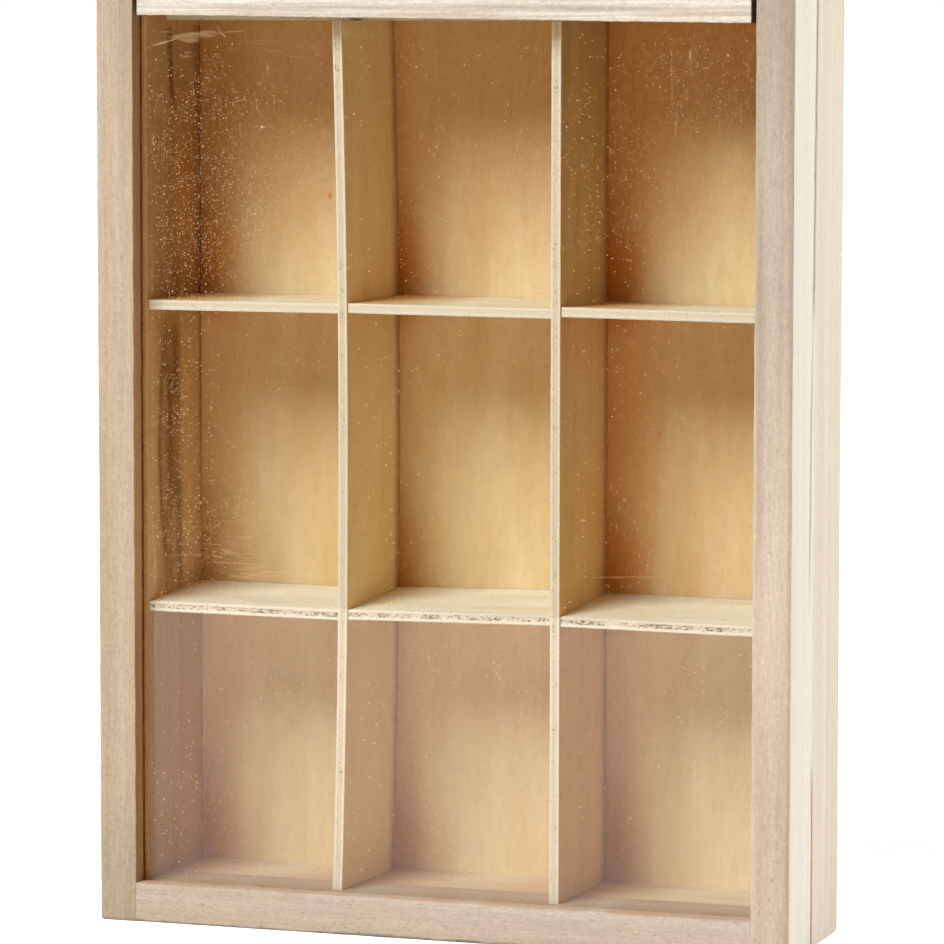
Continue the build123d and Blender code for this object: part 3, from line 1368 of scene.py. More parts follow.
@dataclass(frozen=True)
class PlySheet:
    """A three-ply sheet with a sawn front edge whose core lies a little torn and sunk."""

    name: str
    finishes: tuple[Material, Material, Material]  # face, edge, backing
    place: Callable[[np.ndarray, np.ndarray, np.ndarray], np.ndarray]
    length: float
    depth: float
    seed: int
    torn: float
    core_low: float
    core_high: float
    spacing: float = 0.45
    corner: float = 0.16
    chipping: Pair = (0.5, 9.0)  # how unevenly the corners are chipped, and over what length
    chips: Pair = (0.6, 1.2)  # the least and the most that a point of a corner is chipped by chance
    tearing: Pair = (1.0, 5.0)  # how unevenly the core is torn, and over what length
    wave_torn: Pair = (0.4, 0.6)  # how far it is torn at the wave's foot, and how much the wave adds
    rough_torn: Pair = (0.5, 0.8)  # the same of chance, so it lies nowhere quite flush
    border_torn: float = 0.25  # the most that the plies beside the core are torn, against it
    behind_edge: Pair = (2.0, 0.7)  # where the faces have their rows of points next to the edge
    behind: Triple = (1.0, 0.66, 0.33)  # and further back, as shares of the depth
    smooth_angle: float = 50.0  # degrees; its corners stay sharp

    def front_edge(self, count: int) -> tuple[np.ndarray, np.ndarray]:
        """Works out the sawn edge at every station.

        Args:
            count: how many stations there are.

        Returns:
            How far back each point of the edge lies, stations by points, and its height in the ply.
        """
        rng = np.random.default_rng(self.seed)
        low, high = self.core_low, self.core_high
        tip, shoulder, border = 0.015, 0.05, 0.03
        top = [1.0, 1 - tip, 1 - shoulder, high + border]
        core = [high, (low + 2 * high) / 3, (2 * low + high) / 3, low]
        bottom = [low - border, shoulder, tip, 0.0]
        levels = np.array(top + core + bottom)
        last = len(levels) - 1
        back = np.zeros((count, len(levels)))
        reach = np.arange(count) * self.spacing
        for tip_point, beside, seed in ((0, 1, self.seed + 7), (last, last - 1, self.seed + 8)):
            chips = np.abs(Wander(seed, *self.chipping).along(reach)) + rng.uniform(*self.chips, count)
            back[:, tip_point] = self.corner * chips
            back[:, beside] = back[:, tip_point] / 4
        foot, rise = self.wave_torn
        least, most = self.rough_torn
        for point in range(len(top), len(top) + len(core)):
            wave = np.abs(Wander(self.seed + 20 + point, *self.tearing).along(reach))
            rough = rng.uniform(0.0, 1.0, count)
            back[:, point] = self.torn * (foot + rise * wave) * (least + most * rough)
        for point in (len(top) - 1, len(top) + len(core)):
            back[:, point] = self.torn * rng.uniform(0.0, self.border_torn, count)
        return back, levels

    def build(self) -> Piece:
        """Lofts the sheet along its front edge.

        Returns:
            The object, which stands for the CAD sheet.
        """
        count = round(self.length / self.spacing) + 1
        back, levels = self.front_edge(count)
        inner = np.array([*(self.depth * share for share in self.behind), *self.behind_edge])
        tops = np.broadcast_to(inner, (count, len(inner)))
        reach = np.concatenate([tops, back, tops[:, ::-1]], axis=1)
        height = np.concatenate([np.ones(len(inner)), levels, np.zeros(len(inner))])
        share = np.broadcast_to(np.linspace(0, 1, count)[:, None], reach.shape)
        heights = np.broadcast_to(height, reach.shape)
        skin = loft(self.place(share, reach / self.depth, heights))
        face, edge, backing = range(3)
        strip = [face] * len(inner) + [edge] * (len(levels) - 1) + [backing] * len(inner) + [face]
        skin.slots = strip * (count - 1) + [face, face]
        skin.values["ply"] = heights.ravel()
        sheet = f"{self.name}_sheet"
        return skin.build(sheet, "case", self.finishes, [self.name], "plywood", self.smooth_angle)


@dataclass(frozen=True)
class Divider:
    """What sets one divider apart: where it stands, its veneer and its marks."""

    side: Side
    compartment: float  # the width of the compartments between it and its side of the case
    bow: float
    veneer: BasswoodVeneer
    seed: int
    speck: Speck
    pale: str  # the colour of the painted light over its middle and lowest rows
    lit_strengths: Pair  # how strong that painted light is over the middle row and over the lowest row
    tones: tuple[Pair, ...] = ()

    def cut(self) -> Cut:
        """Gives how the sheet was cut and what marks it bears.

        Returns:
            The cut.
        """
        middle, lowest = self.lit_strengths
        streaks = (
            # painted light over the middle and lowest rows
            Streak(6.0, 130, 200, 90.0, middle, fade=50.0, mark=self.pale),
            Streak(6.0, 20, 100, 90.0, lowest, fade=40.0, mark=self.pale),
            Streak(24.8, -300, 300, 14.0, 0.8, mark="#8A4C18"),  # painted shade where it meets the back panel
        )
        shift = (self.seed * 7.3, self.seed * 11.0, 0.0)  # each sheet is from elsewhere in the log
        return Cut(Grain.UPRIGHT_SIDE, shift, streaks, (self.speck,), self.tones, mark=KNOT_AND_SHADE_BROWN)


@dataclass(frozen=True)
class ShelfRow:
    """What sets one row of shelves apart: its height, its veneer, its sawn edges and its painted shade."""

    name: str
    level: float
    veneer: BasswoodVeneer
    edge: SawnPlyEdge
    torn: float  # how deep the saw tore the core
    back_shades: Triple  # how dark the painted shade at each shelf's back is
    side_shade: float  # how dark the painted shade at each shelf's left end is
    seats: tuple[Triple, Triple, Triple]  # how far each shelf's left, right and back lie above the level


@dataclass
class Compartments:
    """The dividers and shelves that part the case into nine."""

    thickness: float = 3.0
    skew: float = 1.2
    shelf_setback: float = 0.6
    shelf_play: float = 0.1
    # darker and more orange than the faces: painted shade, which its bounced light carries into the
    # compartments
    backing_veneer: BasswoodVeneer = BasswoodVeneer(pale="#DEAB66", band="#CA924C")
    divider_edge: SawnPlyEdge = SawnPlyEdge(core_low=0.24, core_high=0.78, torn_share=0.75, torn_cover=0.38)
    divider_torn: float = 0.07
    dividers: tuple[Divider, Divider] = (
        Divider(
            Side.LEFT,
            compartment=60.3,
            bow=2.0,
            veneer=BasswoodVeneer(pale="#F4E0B0", band="#ECD298"),
            seed=61,
            speck=Speck(-32.2, 3.8, 223.2, 1.4, 2.6, 0.5),
            pale="#FBEFC6",
            lit_strengths=(0.8, 0.5),
        ),
        Divider(
            Side.RIGHT,
            compartment=61.15,
            bow=0.0,
            veneer=BasswoodVeneer(pale="#EBC78C", band="#DFB475"),
            seed=62,
            speck=Speck(36.4, 8.1, 213.1, 0.9, 2.2, 1.0),
            pale="#F8E6C4",
            lit_strengths=(0.5, 0.3),
            # brightness that steps at the shelves' heights: painted light and shade of each compartment
            tones=(
                (0, 1.0), (60, 1.06), (93, 1.12), (97, 0.95), (150, 1.03), (186, 1.1), (190, 0.84),
                (240, 0.78), (290, 0.76),
            ),
        ),
    )
    rows: tuple[ShelfRow, ShelfRow] = (
        ShelfRow(
            "lower",
            level=95.5,
            # paler than the other basswood faces: painted light and sheen on the shelf tops
            veneer=BasswoodVeneer(pale="#F5F4E2", band="#EAE0C3"),
            edge=SawnPlyEdge(
                core="#E0D4BC",
                torn="#66523A",
                core_low=0.32,
                core_high=0.78,
                torn_share=0.95,
                torn_cover=0.6,
                pit_length=0.9,
            ),
            torn=0.12,
            back_shades=(0.1, 0.1, 0.28),
            side_shade=0.06,
            seats=((-0.1, -0.5, 2.1), (-0.2, 0.7, 2.7), (0.5, 0.0, 2.7)),
        ),
        ShelfRow(
            "upper",
            level=188.5,
            # paler than the other basswood faces: painted light and sheen on the shelf tops
            veneer=BasswoodVeneer(pale="#F6EDCF", band="#ECDEB7"),
            edge=SawnPlyEdge(core="#E2D8C4", core_low=0.3, core_high=0.7, torn_share=0.25, torn_cover=0.3),
            torn=0.05,
            back_shades=(0.12, 0.14, 0.4),
            side_shade=0.95,
            seats=((-0.2, -0.1, -0.1), (0.1, -0.2, 0.3), (0.4, -0.2, -0.7)),
        ),
    )
    first_shelf_seed: int = 70

    def __post_init__(self) -> None:
        """Reads the space between the boards off the frame."""
        low, high = box("divider_left")
        self.floor, self.ceiling = low[2], high[2]
        self.front, self.back = low[1], high[1]
        self.inner = box("case_floor")[1][0]

    def divider_face(self, divider: Divider, y: np.ndarray, z: np.ndarray) -> np.ndarray:
        """Gives the sideways place of a divider's left face.

        Args:
            divider: the divider.
            y: how deep in the case each point lies.
            z: its height.

        Returns:
            Each point's place across the case.
        """
        if divider.side is Side.LEFT:
            foot = -self.inner + divider.compartment
        else:
            foot = self.inner - divider.compartment - self.thickness
        share = (z - self.floor) / (self.ceiling - self.floor)
        lean = self.skew * (y - self.front) / (self.back - self.front)
        return foot + 4 * divider.bow * share * (1 - share) + lean  # most bowed at half its height

    def divider(self, divider: Divider) -> Piece:
        """Builds one full-height divider.

        Args:
            divider: which one.

        Returns:
            The object, which stands for the CAD divider.
        """

        def place(share: np.ndarray, back: np.ndarray, ply: np.ndarray) -> np.ndarray:
            """Puts points of the sheet in the frame.

            Args:
                share: how far up the sheet each lies.
                back: how far back it lies.
                ply: how far through the thickness it lies.

            Returns:
                Their coordinates.
            """
            z = self.floor + share * (self.ceiling - self.floor)
            y = self.front + back * (self.back - self.front)
            x = self.divider_face(divider, y, z) + ply * self.thickness
            return np.stack([x, y, z], axis=-1)

        name = f"divider_{divider.side.value}"
        cut = divider.cut()
        edge = self.divider_edge
        finishes = (
            divider.veneer.material(f"veneer_{name}", cut),
            edge.material(f"ply_edge_{name}", Cut(Grain.UPRIGHT, cut.shift)),
            self.backing_veneer.material(f"backing_{name}", cut),
        )
        height, depth = self.ceiling - self.floor, self.back - self.front
        torn = (self.divider_torn, edge.core_low, edge.core_high)
        return PlySheet(name, finishes, place, height, depth, divider.seed, *torn).build()

    def shelf(self, row: ShelfRow, column: Column, seed: int) -> Piece:
        """Builds one shelf between the uprights beside it.

        Args:
            row: its row.
            column: its column.
            seed: what its grain and its sawn edge are drawn from.

        Returns:
            The object, which stands for the CAD shelf.
        """
        number = list(Column).index(column)
        left_rise, right_rise, back_rise = row.seats[number]
        front = self.front + self.shelf_setback

        def sides(y: np.ndarray) -> tuple[np.ndarray, np.ndarray]:
            """Finds the two ends of the shelf.

            Args:
                y: how deep in the case each point lies.

            Returns:
                The left end and the right one at each point.
            """
            z = np.full_like(y, row.level)
            first, second = (self.divider_face(divider, y, z) for divider in self.dividers)
            lefts = (np.full_like(y, -self.inner), first + self.thickness, second + self.thickness)
            rights = (first, second, np.full_like(y, self.inner))
            return lefts[number] + self.shelf_play, rights[number] - self.shelf_play

        def place(share: np.ndarray, back: np.ndarray, ply: np.ndarray) -> np.ndarray:
            """Puts points of the sheet in the frame.

            Args:
                share: how far along the sheet each lies.
                back: how far back it lies.
                ply: how far through the thickness it lies.

            Returns:
                Their coordinates.
            """
            y = front + back * (self.back - front)
            left, right = sides(y)
            x = left + share * (right - left)
            z = row.level + left_rise + share * (right_rise - left_rise) + back * back_rise
            return np.stack([x, y, z + ply * self.thickness], axis=-1)

        left, right = (float(end[0]) for end in sides(np.array([front])))
        streaks = (
            Streak(24.8, -300, 300, 5.0, 0.55),  # painted shade where it meets the back panel
            # painted shade towards the back and at the left end
            Streak(24.0, -300, 300, 50.0, row.back_shades[number]),
            Streak(0.0, left - 30, left + 32, 140.0, row.side_shade, fade=30.0, mark="#CC9040"),
        )
        shift = (seed * 5.1, seed * 23.0, 0.0)  # each shelf is from elsewhere in the log
        cut = Cut(Grain.LEVEL_FLAT, shift, streaks, mark=KNOT_AND_SHADE_BROWN)
        name = f"shelf_{row.name}_{column.value}"
        finishes = (
            row.veneer.material(f"veneer_{name}", cut),
            row.edge.material(f"ply_edge_{name}", Cut(Grain.LEVEL, shift)),
            self.backing_veneer.material(f"backing_{name}", cut),
        )
        torn = (row.torn, row.edge.core_low, row.edge.core_high)
        return PlySheet(name, finishes, place, right - left, self.back - front, seed, *torn).build()

    def build(self) -> list[Piece]:
        """Builds the dividers and then the shelves.

        Returns:
            The objects.
        """
        made = [self.divider(divider) for divider in self.dividers]
        shelves = [(row, column) for row in self.rows for column in Column]
        for seed, (row, column) in enumerate(shelves, start=self.first_shelf_seed):
            made.append(self.shelf(row, column, seed))
        return made


# --- The sliding pane ---------------------------------------------------------------------------


@dataclass(frozen=True)
class SlideRail:
    """The grip rail on the pane's upper edge, with a lower edge that the saw left fibrous."""

    wood: Paulownia = Paulownia(
        pale="#DEDBD1", band="#B8AF9F", pore="#85705A", band_width=1.6, band_share=1.0
    )
    end_shade: Pair = (96.4, 99.0)  # how far from the middle the painted shade at the ends starts and stops
    sizes: CaseSizes = CaseSizes()
    left_height: float = 11.7
    right_height: float = 13.6
    spacing: float = 0.5
    end_steps: Pair = (0.1, 0.25)
    arris: float = 0.4
    lower_arrises: Pair = (0.3, 0.2)  # its front one and its back one
    slot_corner: float = 0.05
    ragged: Pair = (0.09, 14.0)  # how far the lower edge strays, and over what length
    sanding: Pair = (0.25, 20.0)  # by what share the roundings change, and over what length
    seed: int = 50

    def finish(self) -> Material:
        """Makes the rail's wood, with painted shade where its ends run in the grooves.

        Returns:
            The material.
        """
        near, far = self.end_shade
        # painted shade, near black, where the ends run in the grooves
        ends = tuple(
            Streak(280.0, low, high, 90.0, 1.0, fade=0.3, mark="#2C1A0E")
            for low, high in ((-far, -near), (near, far))
        )
        return self.wood.material("paulownia_slide_rail", Cut(Grain.LEVEL, (45.0, -30.0, 7.0), ends))

    def build(self) -> Piece:
        """Lofts the rail from left to right.

        Returns:
            The object, which stands for the CAD rail.
        """
        low, high = box("slide_rail")
        pane_low, pane_high = box("glass_pane")
        places = stations_between(low[0], high[0], self.spacing, self.end_steps)
        share = (places - low[0]) / (high[0] - low[0])
        bottom = high[2] - self.left_height - share * (self.right_height - self.left_height)
        rng = np.random.default_rng(self.seed)
        stray = self.ragged[0]
        tear = np.abs(Wander(self.seed, *self.ragged).along(places)) + rng.uniform(0, stray, len(places))
        glue = self.sizes.pane_glue
        slot_front, slot_back = pane_low[1] - glue, pane_high[1] + glue
        slot_top = pane_high[2] + glue
        front_arris, back_arris = self.lower_arrises
        corners = [
            (low[1], high[2], self.arris),
            (low[1], bottom - tear + stray, front_arris),
            (slot_front, bottom, self.slot_corner),
            (slot_front, slot_top, self.slot_corner),
            (slot_back, slot_top, self.slot_corner),
            (slot_back, bottom, self.slot_corner),
            (high[1], bottom, back_arris),
            (high[1], high[2], self.arris),
        ]
        outline = sanded_outline(corners, places, Wander(self.seed + 5, *self.sanding))
        skin = loft(np.concatenate([for_every_point(places, outline), outline], axis=2))
        return skin.build("slide_rail_board", "slider", [self.finish()], ["slide_rail"], "rail_wood")


DIRTY_GLASS = FloatGlass(
    smears=(  # each by its x, z, length, height, angle, cover, strength and edge
        Smear(-80.5, 272.2, 18.0, 2.2, 5.0, 0.85, 0.26, 0.55),
        Smear(-75.8, 272.7, 8.5, 2.8, 3.0, 0.8, 0.26, 0.5),
        Smear(-82.0, 270.9, 8.0, 2.4, -4.0, 0.8, 0.24, 0.45),
        Smear(-89.3, 270.2, 11.0, 0.8, 14.0, 0.9, 0.26),
        Smear(-91.3, 269.6, 5.0, 1.3, 14.0, 1.0, 0.2),
        Smear(-71.5, 273.2, 5.0, 0.6, -50.0, 0.9, 0.3),
        Smear(-71.0, 272.4, 3.4, 0.6, -30.0, 1.0, 0.34),
        Smear(-67.5, 273.3, 10.0, 0.7, 3.0, 0.9, 0.2),
        Smear(-89.7, 273.1, 7.0, 0.6, 0.0, 1.0, 0.18),
        Smear(-84.0, 275.6, 30.0, 2.2, 3.0, 0.6, 0.12),
        Smear(-62.0, 274.6, 40.0, 4.0, 3.0, 0.55, 0.1),
        Smear(-52.0, 269.0, 50.0, 8.0, -4.0, 0.45, 0.06),
        Smear(-25.0, 273.5, 30.0, 7.0, 0.0, 0.5, 0.08),
        Smear(-82.6, 265.7, 4.0, 0.5, 0.0, 1.0, 0.16),
        Smear(-66.0, 252.4, 5.5, 0.6, 14.0, 0.9, 0.18),
        Smear(-69.7, 115.1, 7.0, 1.3, -13.0, 0.8, 0.2),
        Smear(-73.5, 113.5, 5.0, 0.9, -8.0, 0.9, 0.2),
        Smear(-83.8, 113.5, 14.0, 0.7, 2.0, 0.8, 0.14),
        Smear(-69.3, 111.6, 20.0, 0.7, 1.0, 0.8, 0.16),
        Smear(-61.3, 108.2, 20.0, 3.2, 6.0, 0.6, 0.2),
        Smear(-62.5, 110.6, 16.0, 2.4, 9.0, 0.6, 0.16),
        Smear(-68.5, 116.5, 24.0, 11.0, 8.0, 0.5, 0.13),
        Smear(-52.2, 109.6, 14.0, 1.6, 4.0, 0.6, 0.12),
        Smear(-72.0, 121.0, 34.0, 18.0, 5.0, 0.42, 0.09),
        Smear(-84.0, 112.0, 20.0, 14.0, 0.0, 0.42, 0.08),
        Smear(-93.8, 110.3, 16.0, 1.0, 90.0, 0.8, 0.1),
        Smear(57.9, 112.2, 36.0, 0.8, 2.3, 0.7, 0.12),
        Smear(76.4, 266.8, 4.4, 0.8, 90.0, 1.0, 0.28),
        Smear(88.0, 267.0, 0.9, 0.9, 0.0, 1.0, 0.6),
        Smear(70.9, 261.0, 20.0, 1.0, 90.0, 0.7, 0.1),
        Smear(72.2, 247.3, 12.0, 1.0, 90.0, 0.7, 0.09),
        Smear(94.6, 262.0, 26.0, 4.0, 90.0, 0.5, 0.08),
        Smear(57.5, 217.0, 24.0, 9.0, 70.0, 0.5, 0.05),
        Smear(-56.6, 262.0, 4.4, 0.7, 90.0, 0.9, 0.2),
        Smear(-58.3, 244.6, 0.9, 0.9, 0.0, 1.0, 0.8),
    ),
    dusty=(
        Smear(-84.0, 236.0, 44.0, 84.0, 0.0, 0.5, edge=0.3),
        Smear(-73.0, 212.0, 60.0, 36.0, 70.0, 0.5, edge=0.2),
        Smear(-68.0, 238.0, 70.0, 60.0, 0.0, 0.12, edge=0.3),
        Smear(-88.0, 150.0, 34.0, 110.0, 0.0, 0.4, edge=0.3),
        Smear(-80.0, 118.0, 50.0, 44.0, 0.0, 0.4, edge=0.3),
        Smear(-84.0, 40.0, 34.0, 80.0, 0.0, 0.2, edge=0.3),
        Smear(50.0, 230.0, 50.0, 80.0, 0.0, 0.15, edge=0.3),
        Smear(80.0, 262.0, 44.0, 36.0, 0.0, 0.25, edge=0.3),
        Smear(0.0, 150.0, 260.0, 360.0, 0.0, 0.03, edge=0.9),
    ),
)


@dataclass(frozen=True)
class Pane:
    """The glass pane, its edges seamed so that they don't cut."""

    glass: FloatGlass = DIRTY_GLASS
    ground: GroundGlassEdge = GroundGlassEdge()
    seam: float = 0.3
    corner: float = 0.8
    smooth_angle: float = 20.0  # degrees; its seams stay sharp

    def build(self) -> Piece:
        """Lofts the pane through its thickness.

        Returns:
            The object, which stands for the CAD pane.
        """
        low, high = box("glass_pane")
        depths = [low[1], low[1] + self.seam, high[1] - self.seam, high[1]]
        insets = [self.seam, 0.0, 0.0, self.seam]
        sections = []
        for y, inset in zip(depths, insets):
            left, right = low[0] + inset, high[0] - inset
            bottom, top = low[2] + inset, high[2] - inset
            corners = np.array([[(left, bottom), (right, bottom), (right, top), (left, top)]])
            outline = eased_outline(corners, np.full((1, 4), self.corner - inset))[0]
            sections.append(np.stack([outline[:, 0], np.full(len(outline), y), outline[:, 1]], axis=1))
        skin = loft(np.array(sections))
        front, edge, rear = range(3)
        skin.slots = [edge] * (len(skin.faces) - 2) + [front, rear]
        finishes = [
            self.glass.material("float_glass_front", dirty=True),
            self.ground.material("ground_glass_edge"),
            self.glass.material("float_glass_rear", dirty=False),
        ]
        name, slot = "glass_pane_sheet", "pane_glass"
        return skin.build(name, "slider", finishes, ["glass_pane"], slot, self.smooth_angle)


# --- The box ------------------------------------------------------------------------------------


@dataclass(frozen=True)
class Carcass:
    """The box behind the front frame: sides, floor, top, back panel and its pins."""

    outer_wood: Paulownia = Paulownia(
        pale="#DEDBCA", band="#CCC2AA", pore="#8E7A5F", pore_share=0.14, mottle=0.06
    )
    inner_wood: Paulownia = INNER_WOOD
    level_wood: Paulownia = Paulownia(pale="#DECAAB", band="#C5AD87")
    unshaded_outside: Triple = (1.0, 1.2, 1.45)  # how much paler the top and floor are outside than inside, where their colour is darker and more orange as painted shade
    veneer: BasswoodVeneer = BasswoodVeneer()
    pins: BrightSteel = BrightSteel()
    depth: float = 27.5
    columns: Triple = (-97.0, -33.0, 37.0)  # the left sides of the compartments
    levels: Triple = (12.0, 98.5, 191.5)  # and their floors
    knots: tuple[Speck, ...] = (
        Speck(-53.7, 24.5, 222.1, 2.0, 3.0, 0.8),
        Speck(10.2, 24.5, 216.3, 3.0, 3.8, 0.3),
        Speck(53.8, 24.5, 151.3, 1.4, 2.0, 0.6),
        Speck(57.8, 24.5, 131.8, 1.6, 1.8, 0.4),
        Speck(40.3, 24.5, 21.7, 1.6, 1.8, 0.6),
    )
    # the first two are the veneer's own bands; the rest are painted light and painted shade within single
    # compartments and beside their walls
    bands: tuple[Streak, ...] = (
        Streak(-67.0, 218, 268, 4.0, 0.15),
        Streak(-20.7, 217, 247, 4.0, 0.15),
        Streak(26.0, 190, 262, 34.0, 0.7, fade=24.0, mark="#F6E8C4"),
        Streak(36.0, 100, 194, 44.0, 0.45, fade=30.0, mark="#DE9A3C"),
        Streak(-99.0, 0, 300, 44.0, 0.45),
        Streak(-34.0, 0, 300, 30.0, 0.4),
        Streak(36.0, 0, 300, 44.0, 0.5),
    )
    corner_shade_depths: tuple[float, ...] = (0.6, 0.65, 0.95)  # how dark the painted shade in each level's lower left corners is
    corners: tuple[Triple, ...] = ((0.75, 0.5, 0.4), (0.3, 0.5, 0.85), (0.55, 0.75, 0.95))  # and how orange the painted shade there is
    # painted shade, orange, over the top row and parts of the middle row
    row_shades: tuple[Streak, ...] = (
        Streak(0.0, 190, 330, 500.0, 0.48, fade=50.0, mark="#C67C27"),
        Streak(-85.0, 195, 330, 80.0, 0.25, fade=25.0, mark="#C67C27"),
        Streak(-97.0, 200, 330, 56.0, 0.5, fade=25.0, mark="#A06420"),
        Streak(45.0, 195, 330, 70.0, 0.5, fade=25.0, mark="#C67C27"),
        Streak(85.0, 235, 330, 90.0, 0.75, fade=25.0, mark="#BC6E20"),
        Streak(68.0, 88, 196, 110.0, 0.3, fade=15.0),
        Streak(-68.0, 88, 196, 110.0, 0.12, fade=15.0),
    )
    # brightness that steps at the shelves' heights: painted light and shade of each compartment
    tones: tuple[Pair, ...] = (
        (0, 0.88), (12, 0.9), (40, 0.95), (70, 1.03), (94, 1.07), (98, 0.93), (130, 0.96), (190, 1.0),
        (192, 0.96), (290, 0.94),
    )

    def back_streaks(self) -> tuple[Streak, ...]:
        """Gathers the back panel's streaks: bands, painted shade in the compartments' corners, and painted
        shade over whole rows.

        Returns:
            The streaks, in the order in which they lie over each other.
        """
        corner_shades = (
            Streak(x, z - 10, z + 36, 28.0, strength, fade=30.0, mark="#B47424")
            for z, strength in zip(self.levels, self.corner_shade_depths)
            for x in self.columns
        )
        corners = (
            Streak(x, z - 12, z + 24, 44.0, strength, fade=24.0, mark="#CC7818")
            for z, strengths in zip(self.levels, self.corners)
            for x, strength in zip(self.columns, strengths)
        )
        return (*self.bands, *corner_shades, *corners, *self.row_shades)

    def build(self) -> None:
        """Dresses the box's CAD pieces."""
        # the old glue of the joint, and painted shade along the back edge
        marks = (*JOINT, Streak(self.depth, -10, 300, 3.4, 0.5))
        right = Cut(Grain.UPRIGHT_SIDE, (30.0, -40.0, 9.0), marks, drift=0.9, inside=(109.6, 120.0))
        # painted shade at the left of each compartment's floor
        shaded = tuple(
            Streak(0.0, x - 30, x + 28, 140.0, 0.5, fade=28.0, mark="#C08848") for x in self.columns
        )
        floor = Cut(Grain.LEVEL_FLAT, (12.0, 0.0, 0.0), shaded, inside=(11.7, 20.0), outside=self.unshaded_outside)
        top = Cut(Grain.LEVEL_FLAT, (70.0, 20.0, 0.0), inside=(270.0, 276.8), outside=self.unshaded_outside)
        back = Cut(
            Grain.UPRIGHT,
            streaks=self.back_streaks(),
            specks=self.knots,
            tones=self.tones,
            # the colour of the knots, the bands and the painted shades
            mark="#D08038",
            inside=(0.0, 25.3),
        )
        dress("case_side_left", self.inner_wood.material("paulownia_side_left", LEFT_WALL))
        dress("case_side_right", self.outer_wood.material("paulownia_side_right", right))
        dress("case_floor", self.level_wood.material("paulownia_floor", floor))
        dress("case_top", self.level_wood.material("paulownia_top", top))
        dress("back_panel", self.veneer.material("veneer_back", back))
        dress("back_panel_pins", self.pins.material("bright_steel"))


# --- Studio -------------------------------------------------------------------------------------


@dataclass(frozen=True)
class SoftBox:
    """A rectangular lamp behind cloth. Its places are in metres and its power is in watts."""

    name: str
    at: Triple
    size: float
    power: float
    colour: str = WHITE
    aim: Triple = (0.0, 0.0, 0.14)

    def build(self) -> None:
        """Hangs the lamp and turns it to the case."""
        lamp = bpy.data.lights.new(self.name, "AREA")
        lamp.shape = "RECTANGLE"
        lamp.size = self.size
        lamp.size_y = self.size
        lamp.energy = self.power
        lamp.color = linear(self.colour)[:3]
        holder = bpy.data.objects.new(self.name, lamp)
        holder.location = self.at
        holder.rotation_euler = (Vector(self.aim) - Vector(self.at)).to_track_quat("-Z", "Y").to_euler()
        bpy.context.scene.collection.objects.link(holder)


@dataclass(frozen=True)
class Camera:
    """A long lens, a little above the case and to its right. Its place is in metres."""

    at: Triple = (0.499166, -1.444995, 0.284427)
    azimuth: float = 19.0
    elevation: float = 5.413
    roll: float = 0.086
    focal_pixels: float = 5043.413
    centre: Pair = (472.131, 472.807)  # where the lens's axis meets the frame, in pixels
    frame_pixels: int = 944
    sensor: float = 36.0

    def build(self) -> None:
        """Stands the camera at its place and makes it the scene's."""
        lens = bpy.data.cameras.new("camera")
        lens.sensor_width = self.sensor
        lens.lens = self.focal_pixels / self.frame_pixels * self.sensor
        lens.shift_x = 0.5 - self.centre[0] / self.frame_pixels
        lens.shift_y = self.centre[1] / self.frame_pixels - 0.5
        holder = bpy.data.objects.new("camera", lens)
        turn, rise, tip = (math.radians(angle) for angle in (self.azimuth, self.elevation, self.roll))
        ahead = Vector((-math.sin(turn) * math.cos(rise), math.cos(turn) * math.cos(rise), -math.sin(rise)))
        right = ahead.cross(Vector((0, 0, 1))).normalized()
        up = right.cross(ahead)
        tipped_right = math.cos(tip) * right + math.sin(tip) * up
        tipped_up = -math.sin(tip) * right + math.cos(tip) * up
        turned = Matrix((tipped_right, tipped_up, -ahead)).transposed().to_4x4()
        holder.matrix_world = Matrix.Translation(self.at) @ turned
        bpy.context.scene.collection.objects.link(holder)
        bpy.context.scene.camera = holder


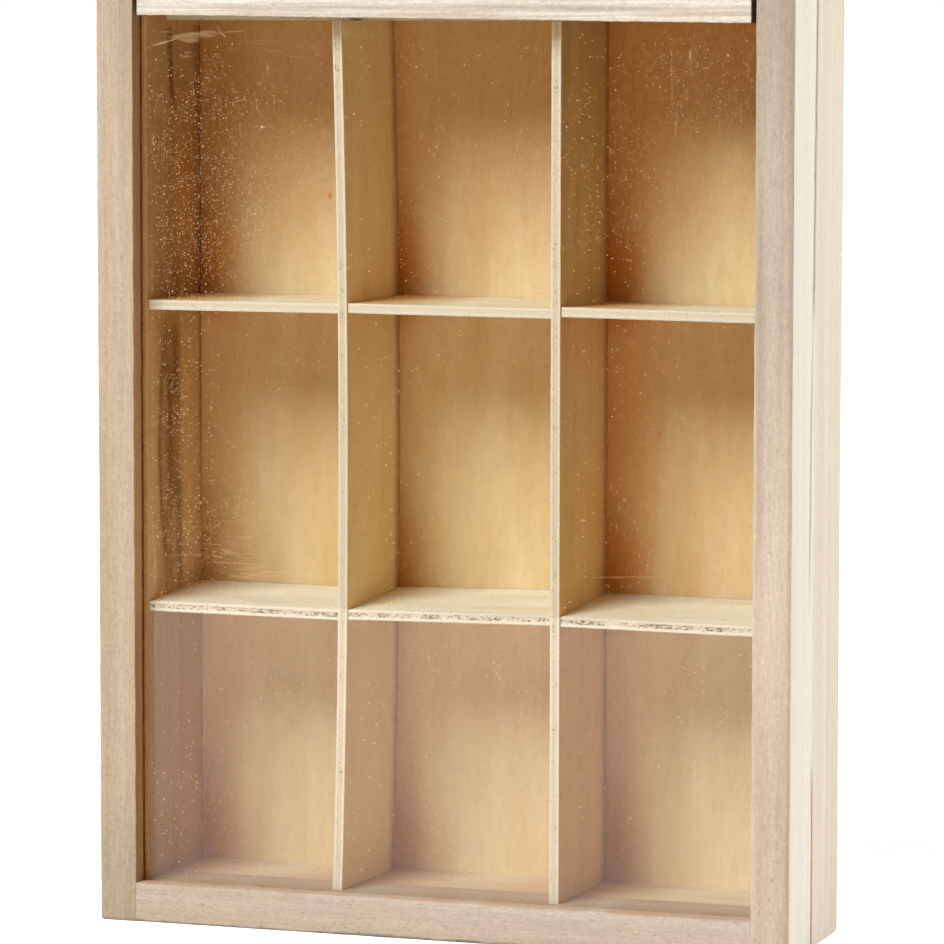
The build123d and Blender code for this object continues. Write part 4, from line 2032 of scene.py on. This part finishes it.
@dataclass(frozen=True)
class Studio:
    """A white table under soft light, with a dark card in front that keeps the glass clear.

    Its sizes are in metres.
    """

    table_front: float = -0.78
    table_reach: float = 4.0
    table_pale: str = "#E8D9C3"
    glow: str = "#C4D1E7"  # cool against the laminate's warmth, so that they add up to white
    glow_near: float = 0.45
    glow_far: float = 1.1
    card_sides: Pair = (-2.0, 0.3)
    card_at: float = -1.6
    card_rise: float = 1.2
    card_black: str = "#101010"
    world: float = 0.2
    world_tint: str = "#FFB47A"
    lamps: tuple[SoftBox, ...] = (
        SoftBox("key", (-0.62, -1.32, 1.5), 0.9, 49.0, "#F2F7FF"),
        SoftBox("fill", (0.02, -1.5, 0.08), 0.5, 2.8, "#FFEBCB"),
        SoftBox("side", (1.81, 0.73, 0.56), 1.0, 30.0, "#F2F6FF"),
        SoftBox("back", (-0.5, 1.8, 1.1), 1.0, 14.0),
    )

    @staticmethod
    def flat(name: str, corners: Sequence[Triple], material: Material) -> Piece:
        """Lays one flat sheet of the studio.

        Args:
            name: its name.
            corners: its four corners in metres.
            material: its finish.

        Returns:
            The object, marked as stage.
        """
        mesh = bpy.data.meshes.new(name)
        mesh.from_pydata(corners, [], [tuple(range(len(corners)))])
        mesh.materials.append(material)
        sheet = bpy.data.objects.new(name, mesh)
        bpy.context.scene.collection.objects.link(sheet)
        return sheet

    @staticmethod
    def seen(add: Adder) -> Source:
        """Tells whether the lens sees a surface, straight, mirrored or through the glass.

        Args:
            add: adds a node to the material or the world.

        Returns:
            One where it does.
        """
        path = add("LightPath").outputs
        direct = add("Math", [path["Is Camera Ray"], path["Is Glossy Ray"]], operation="MAXIMUM")
        return add("Math", [direct, path["Is Transmission Ray"]], operation="MAXIMUM")

    def table_material(self) -> Material:
        """Makes matt pale laminate that the lens and the glass see as white, save for shadow.

        Returns:
            The material.
        """
        material, add = empty_material("table_white")
        matt = add("BsdfDiffuse", {"Color": linear(self.table_pale)})
        place = add("TexCoord").outputs["Object"]
        distance = add("VectorMath", [place], operation="LENGTH")
        away = {"Value": distance, "From Min": self.glow_near, "From Max": self.glow_far}
        glow = {0: add("MapRange", away), 6: linear(self.glow), 7: linear(WHITE)}
        glow = add("Mix", glow, data_type="RGBA")
        white = add("Emission", {"Color": glow, "Strength": self.seen(add)})
        add("OutputMaterial", {"Surface": add("AddShader", [matt, white])})
        return material

    def card_material(self) -> Material:
        """Makes the dark card's black cloth.

        Returns:
            The material.
        """
        material, add = empty_material("black_cloth")
        shader = add("BsdfDiffuse", {"Color": linear(self.card_black)})
        add("OutputMaterial", {"Surface": shader})
        return material

    def surround(self) -> bpy.types.World:
        """Makes the world: white where the lens sees it, and dim and warm as light.

        Returns:
            The world.
        """
        world = bpy.data.worlds.new("surround")
        world.use_nodes = True
        world.node_tree.nodes.clear()
        add = partial(add_node, world.node_tree)
        seen = self.seen(add)
        strength = add("MapRange", {"Value": seen, "To Min": self.world})
        colour = {0: seen, 6: linear(self.world_tint), 7: linear(WHITE)}
        colour = add("Mix", colour, data_type="RGBA")
        surface = add("Background", {"Color": colour, "Strength": strength})
        add("OutputWorld", {"Surface": surface})
        return world

    def build(self) -> None:
        """Lays the table, hangs the card, the lamps and the white surround, and stands the camera."""
        front, reach = self.table_front, self.table_reach
        table = [(-reach, front, 0), (reach, front, 0), (reach, reach, 0), (-reach, reach, 0)]
        self.flat("table", table, self.table_material())
        (left, right), at, rise = self.card_sides, self.card_at, self.card_rise
        corners = [(left, at, -rise), (right, at, -rise), (right, at, rise), (left, at, rise)]
        card = self.flat("dark_card", corners, self.card_material())
        card.visible_camera = False
        card.visible_diffuse = False
        card.visible_shadow = False
        card.visible_transmission = False
        bpy.context.scene.world = self.surround()
        for lamp in self.lamps:
            lamp.build()
        Camera().build()
        bpy.context.scene.view_settings.view_transform = "Standard"


# --- Everything in order ------------------------------------------------------------------------


def main() -> None:
    """Builds and dresses every piece, then the studio round it."""
    logging.basicConfig(level=logging.INFO, format="%(message)s")
    made = [*FrontFrame().build(), SlideRail().build(), Pane().build(), *Compartments().build()]
    for piece in made:
        log.info("built %s with %d faces", piece.name, len(piece.data.polygons))
    Carcass().build()
    log.info("dressed the box")
    Studio().build()
    log.info("built the studio")


if __name__ == "__main__":
    main()
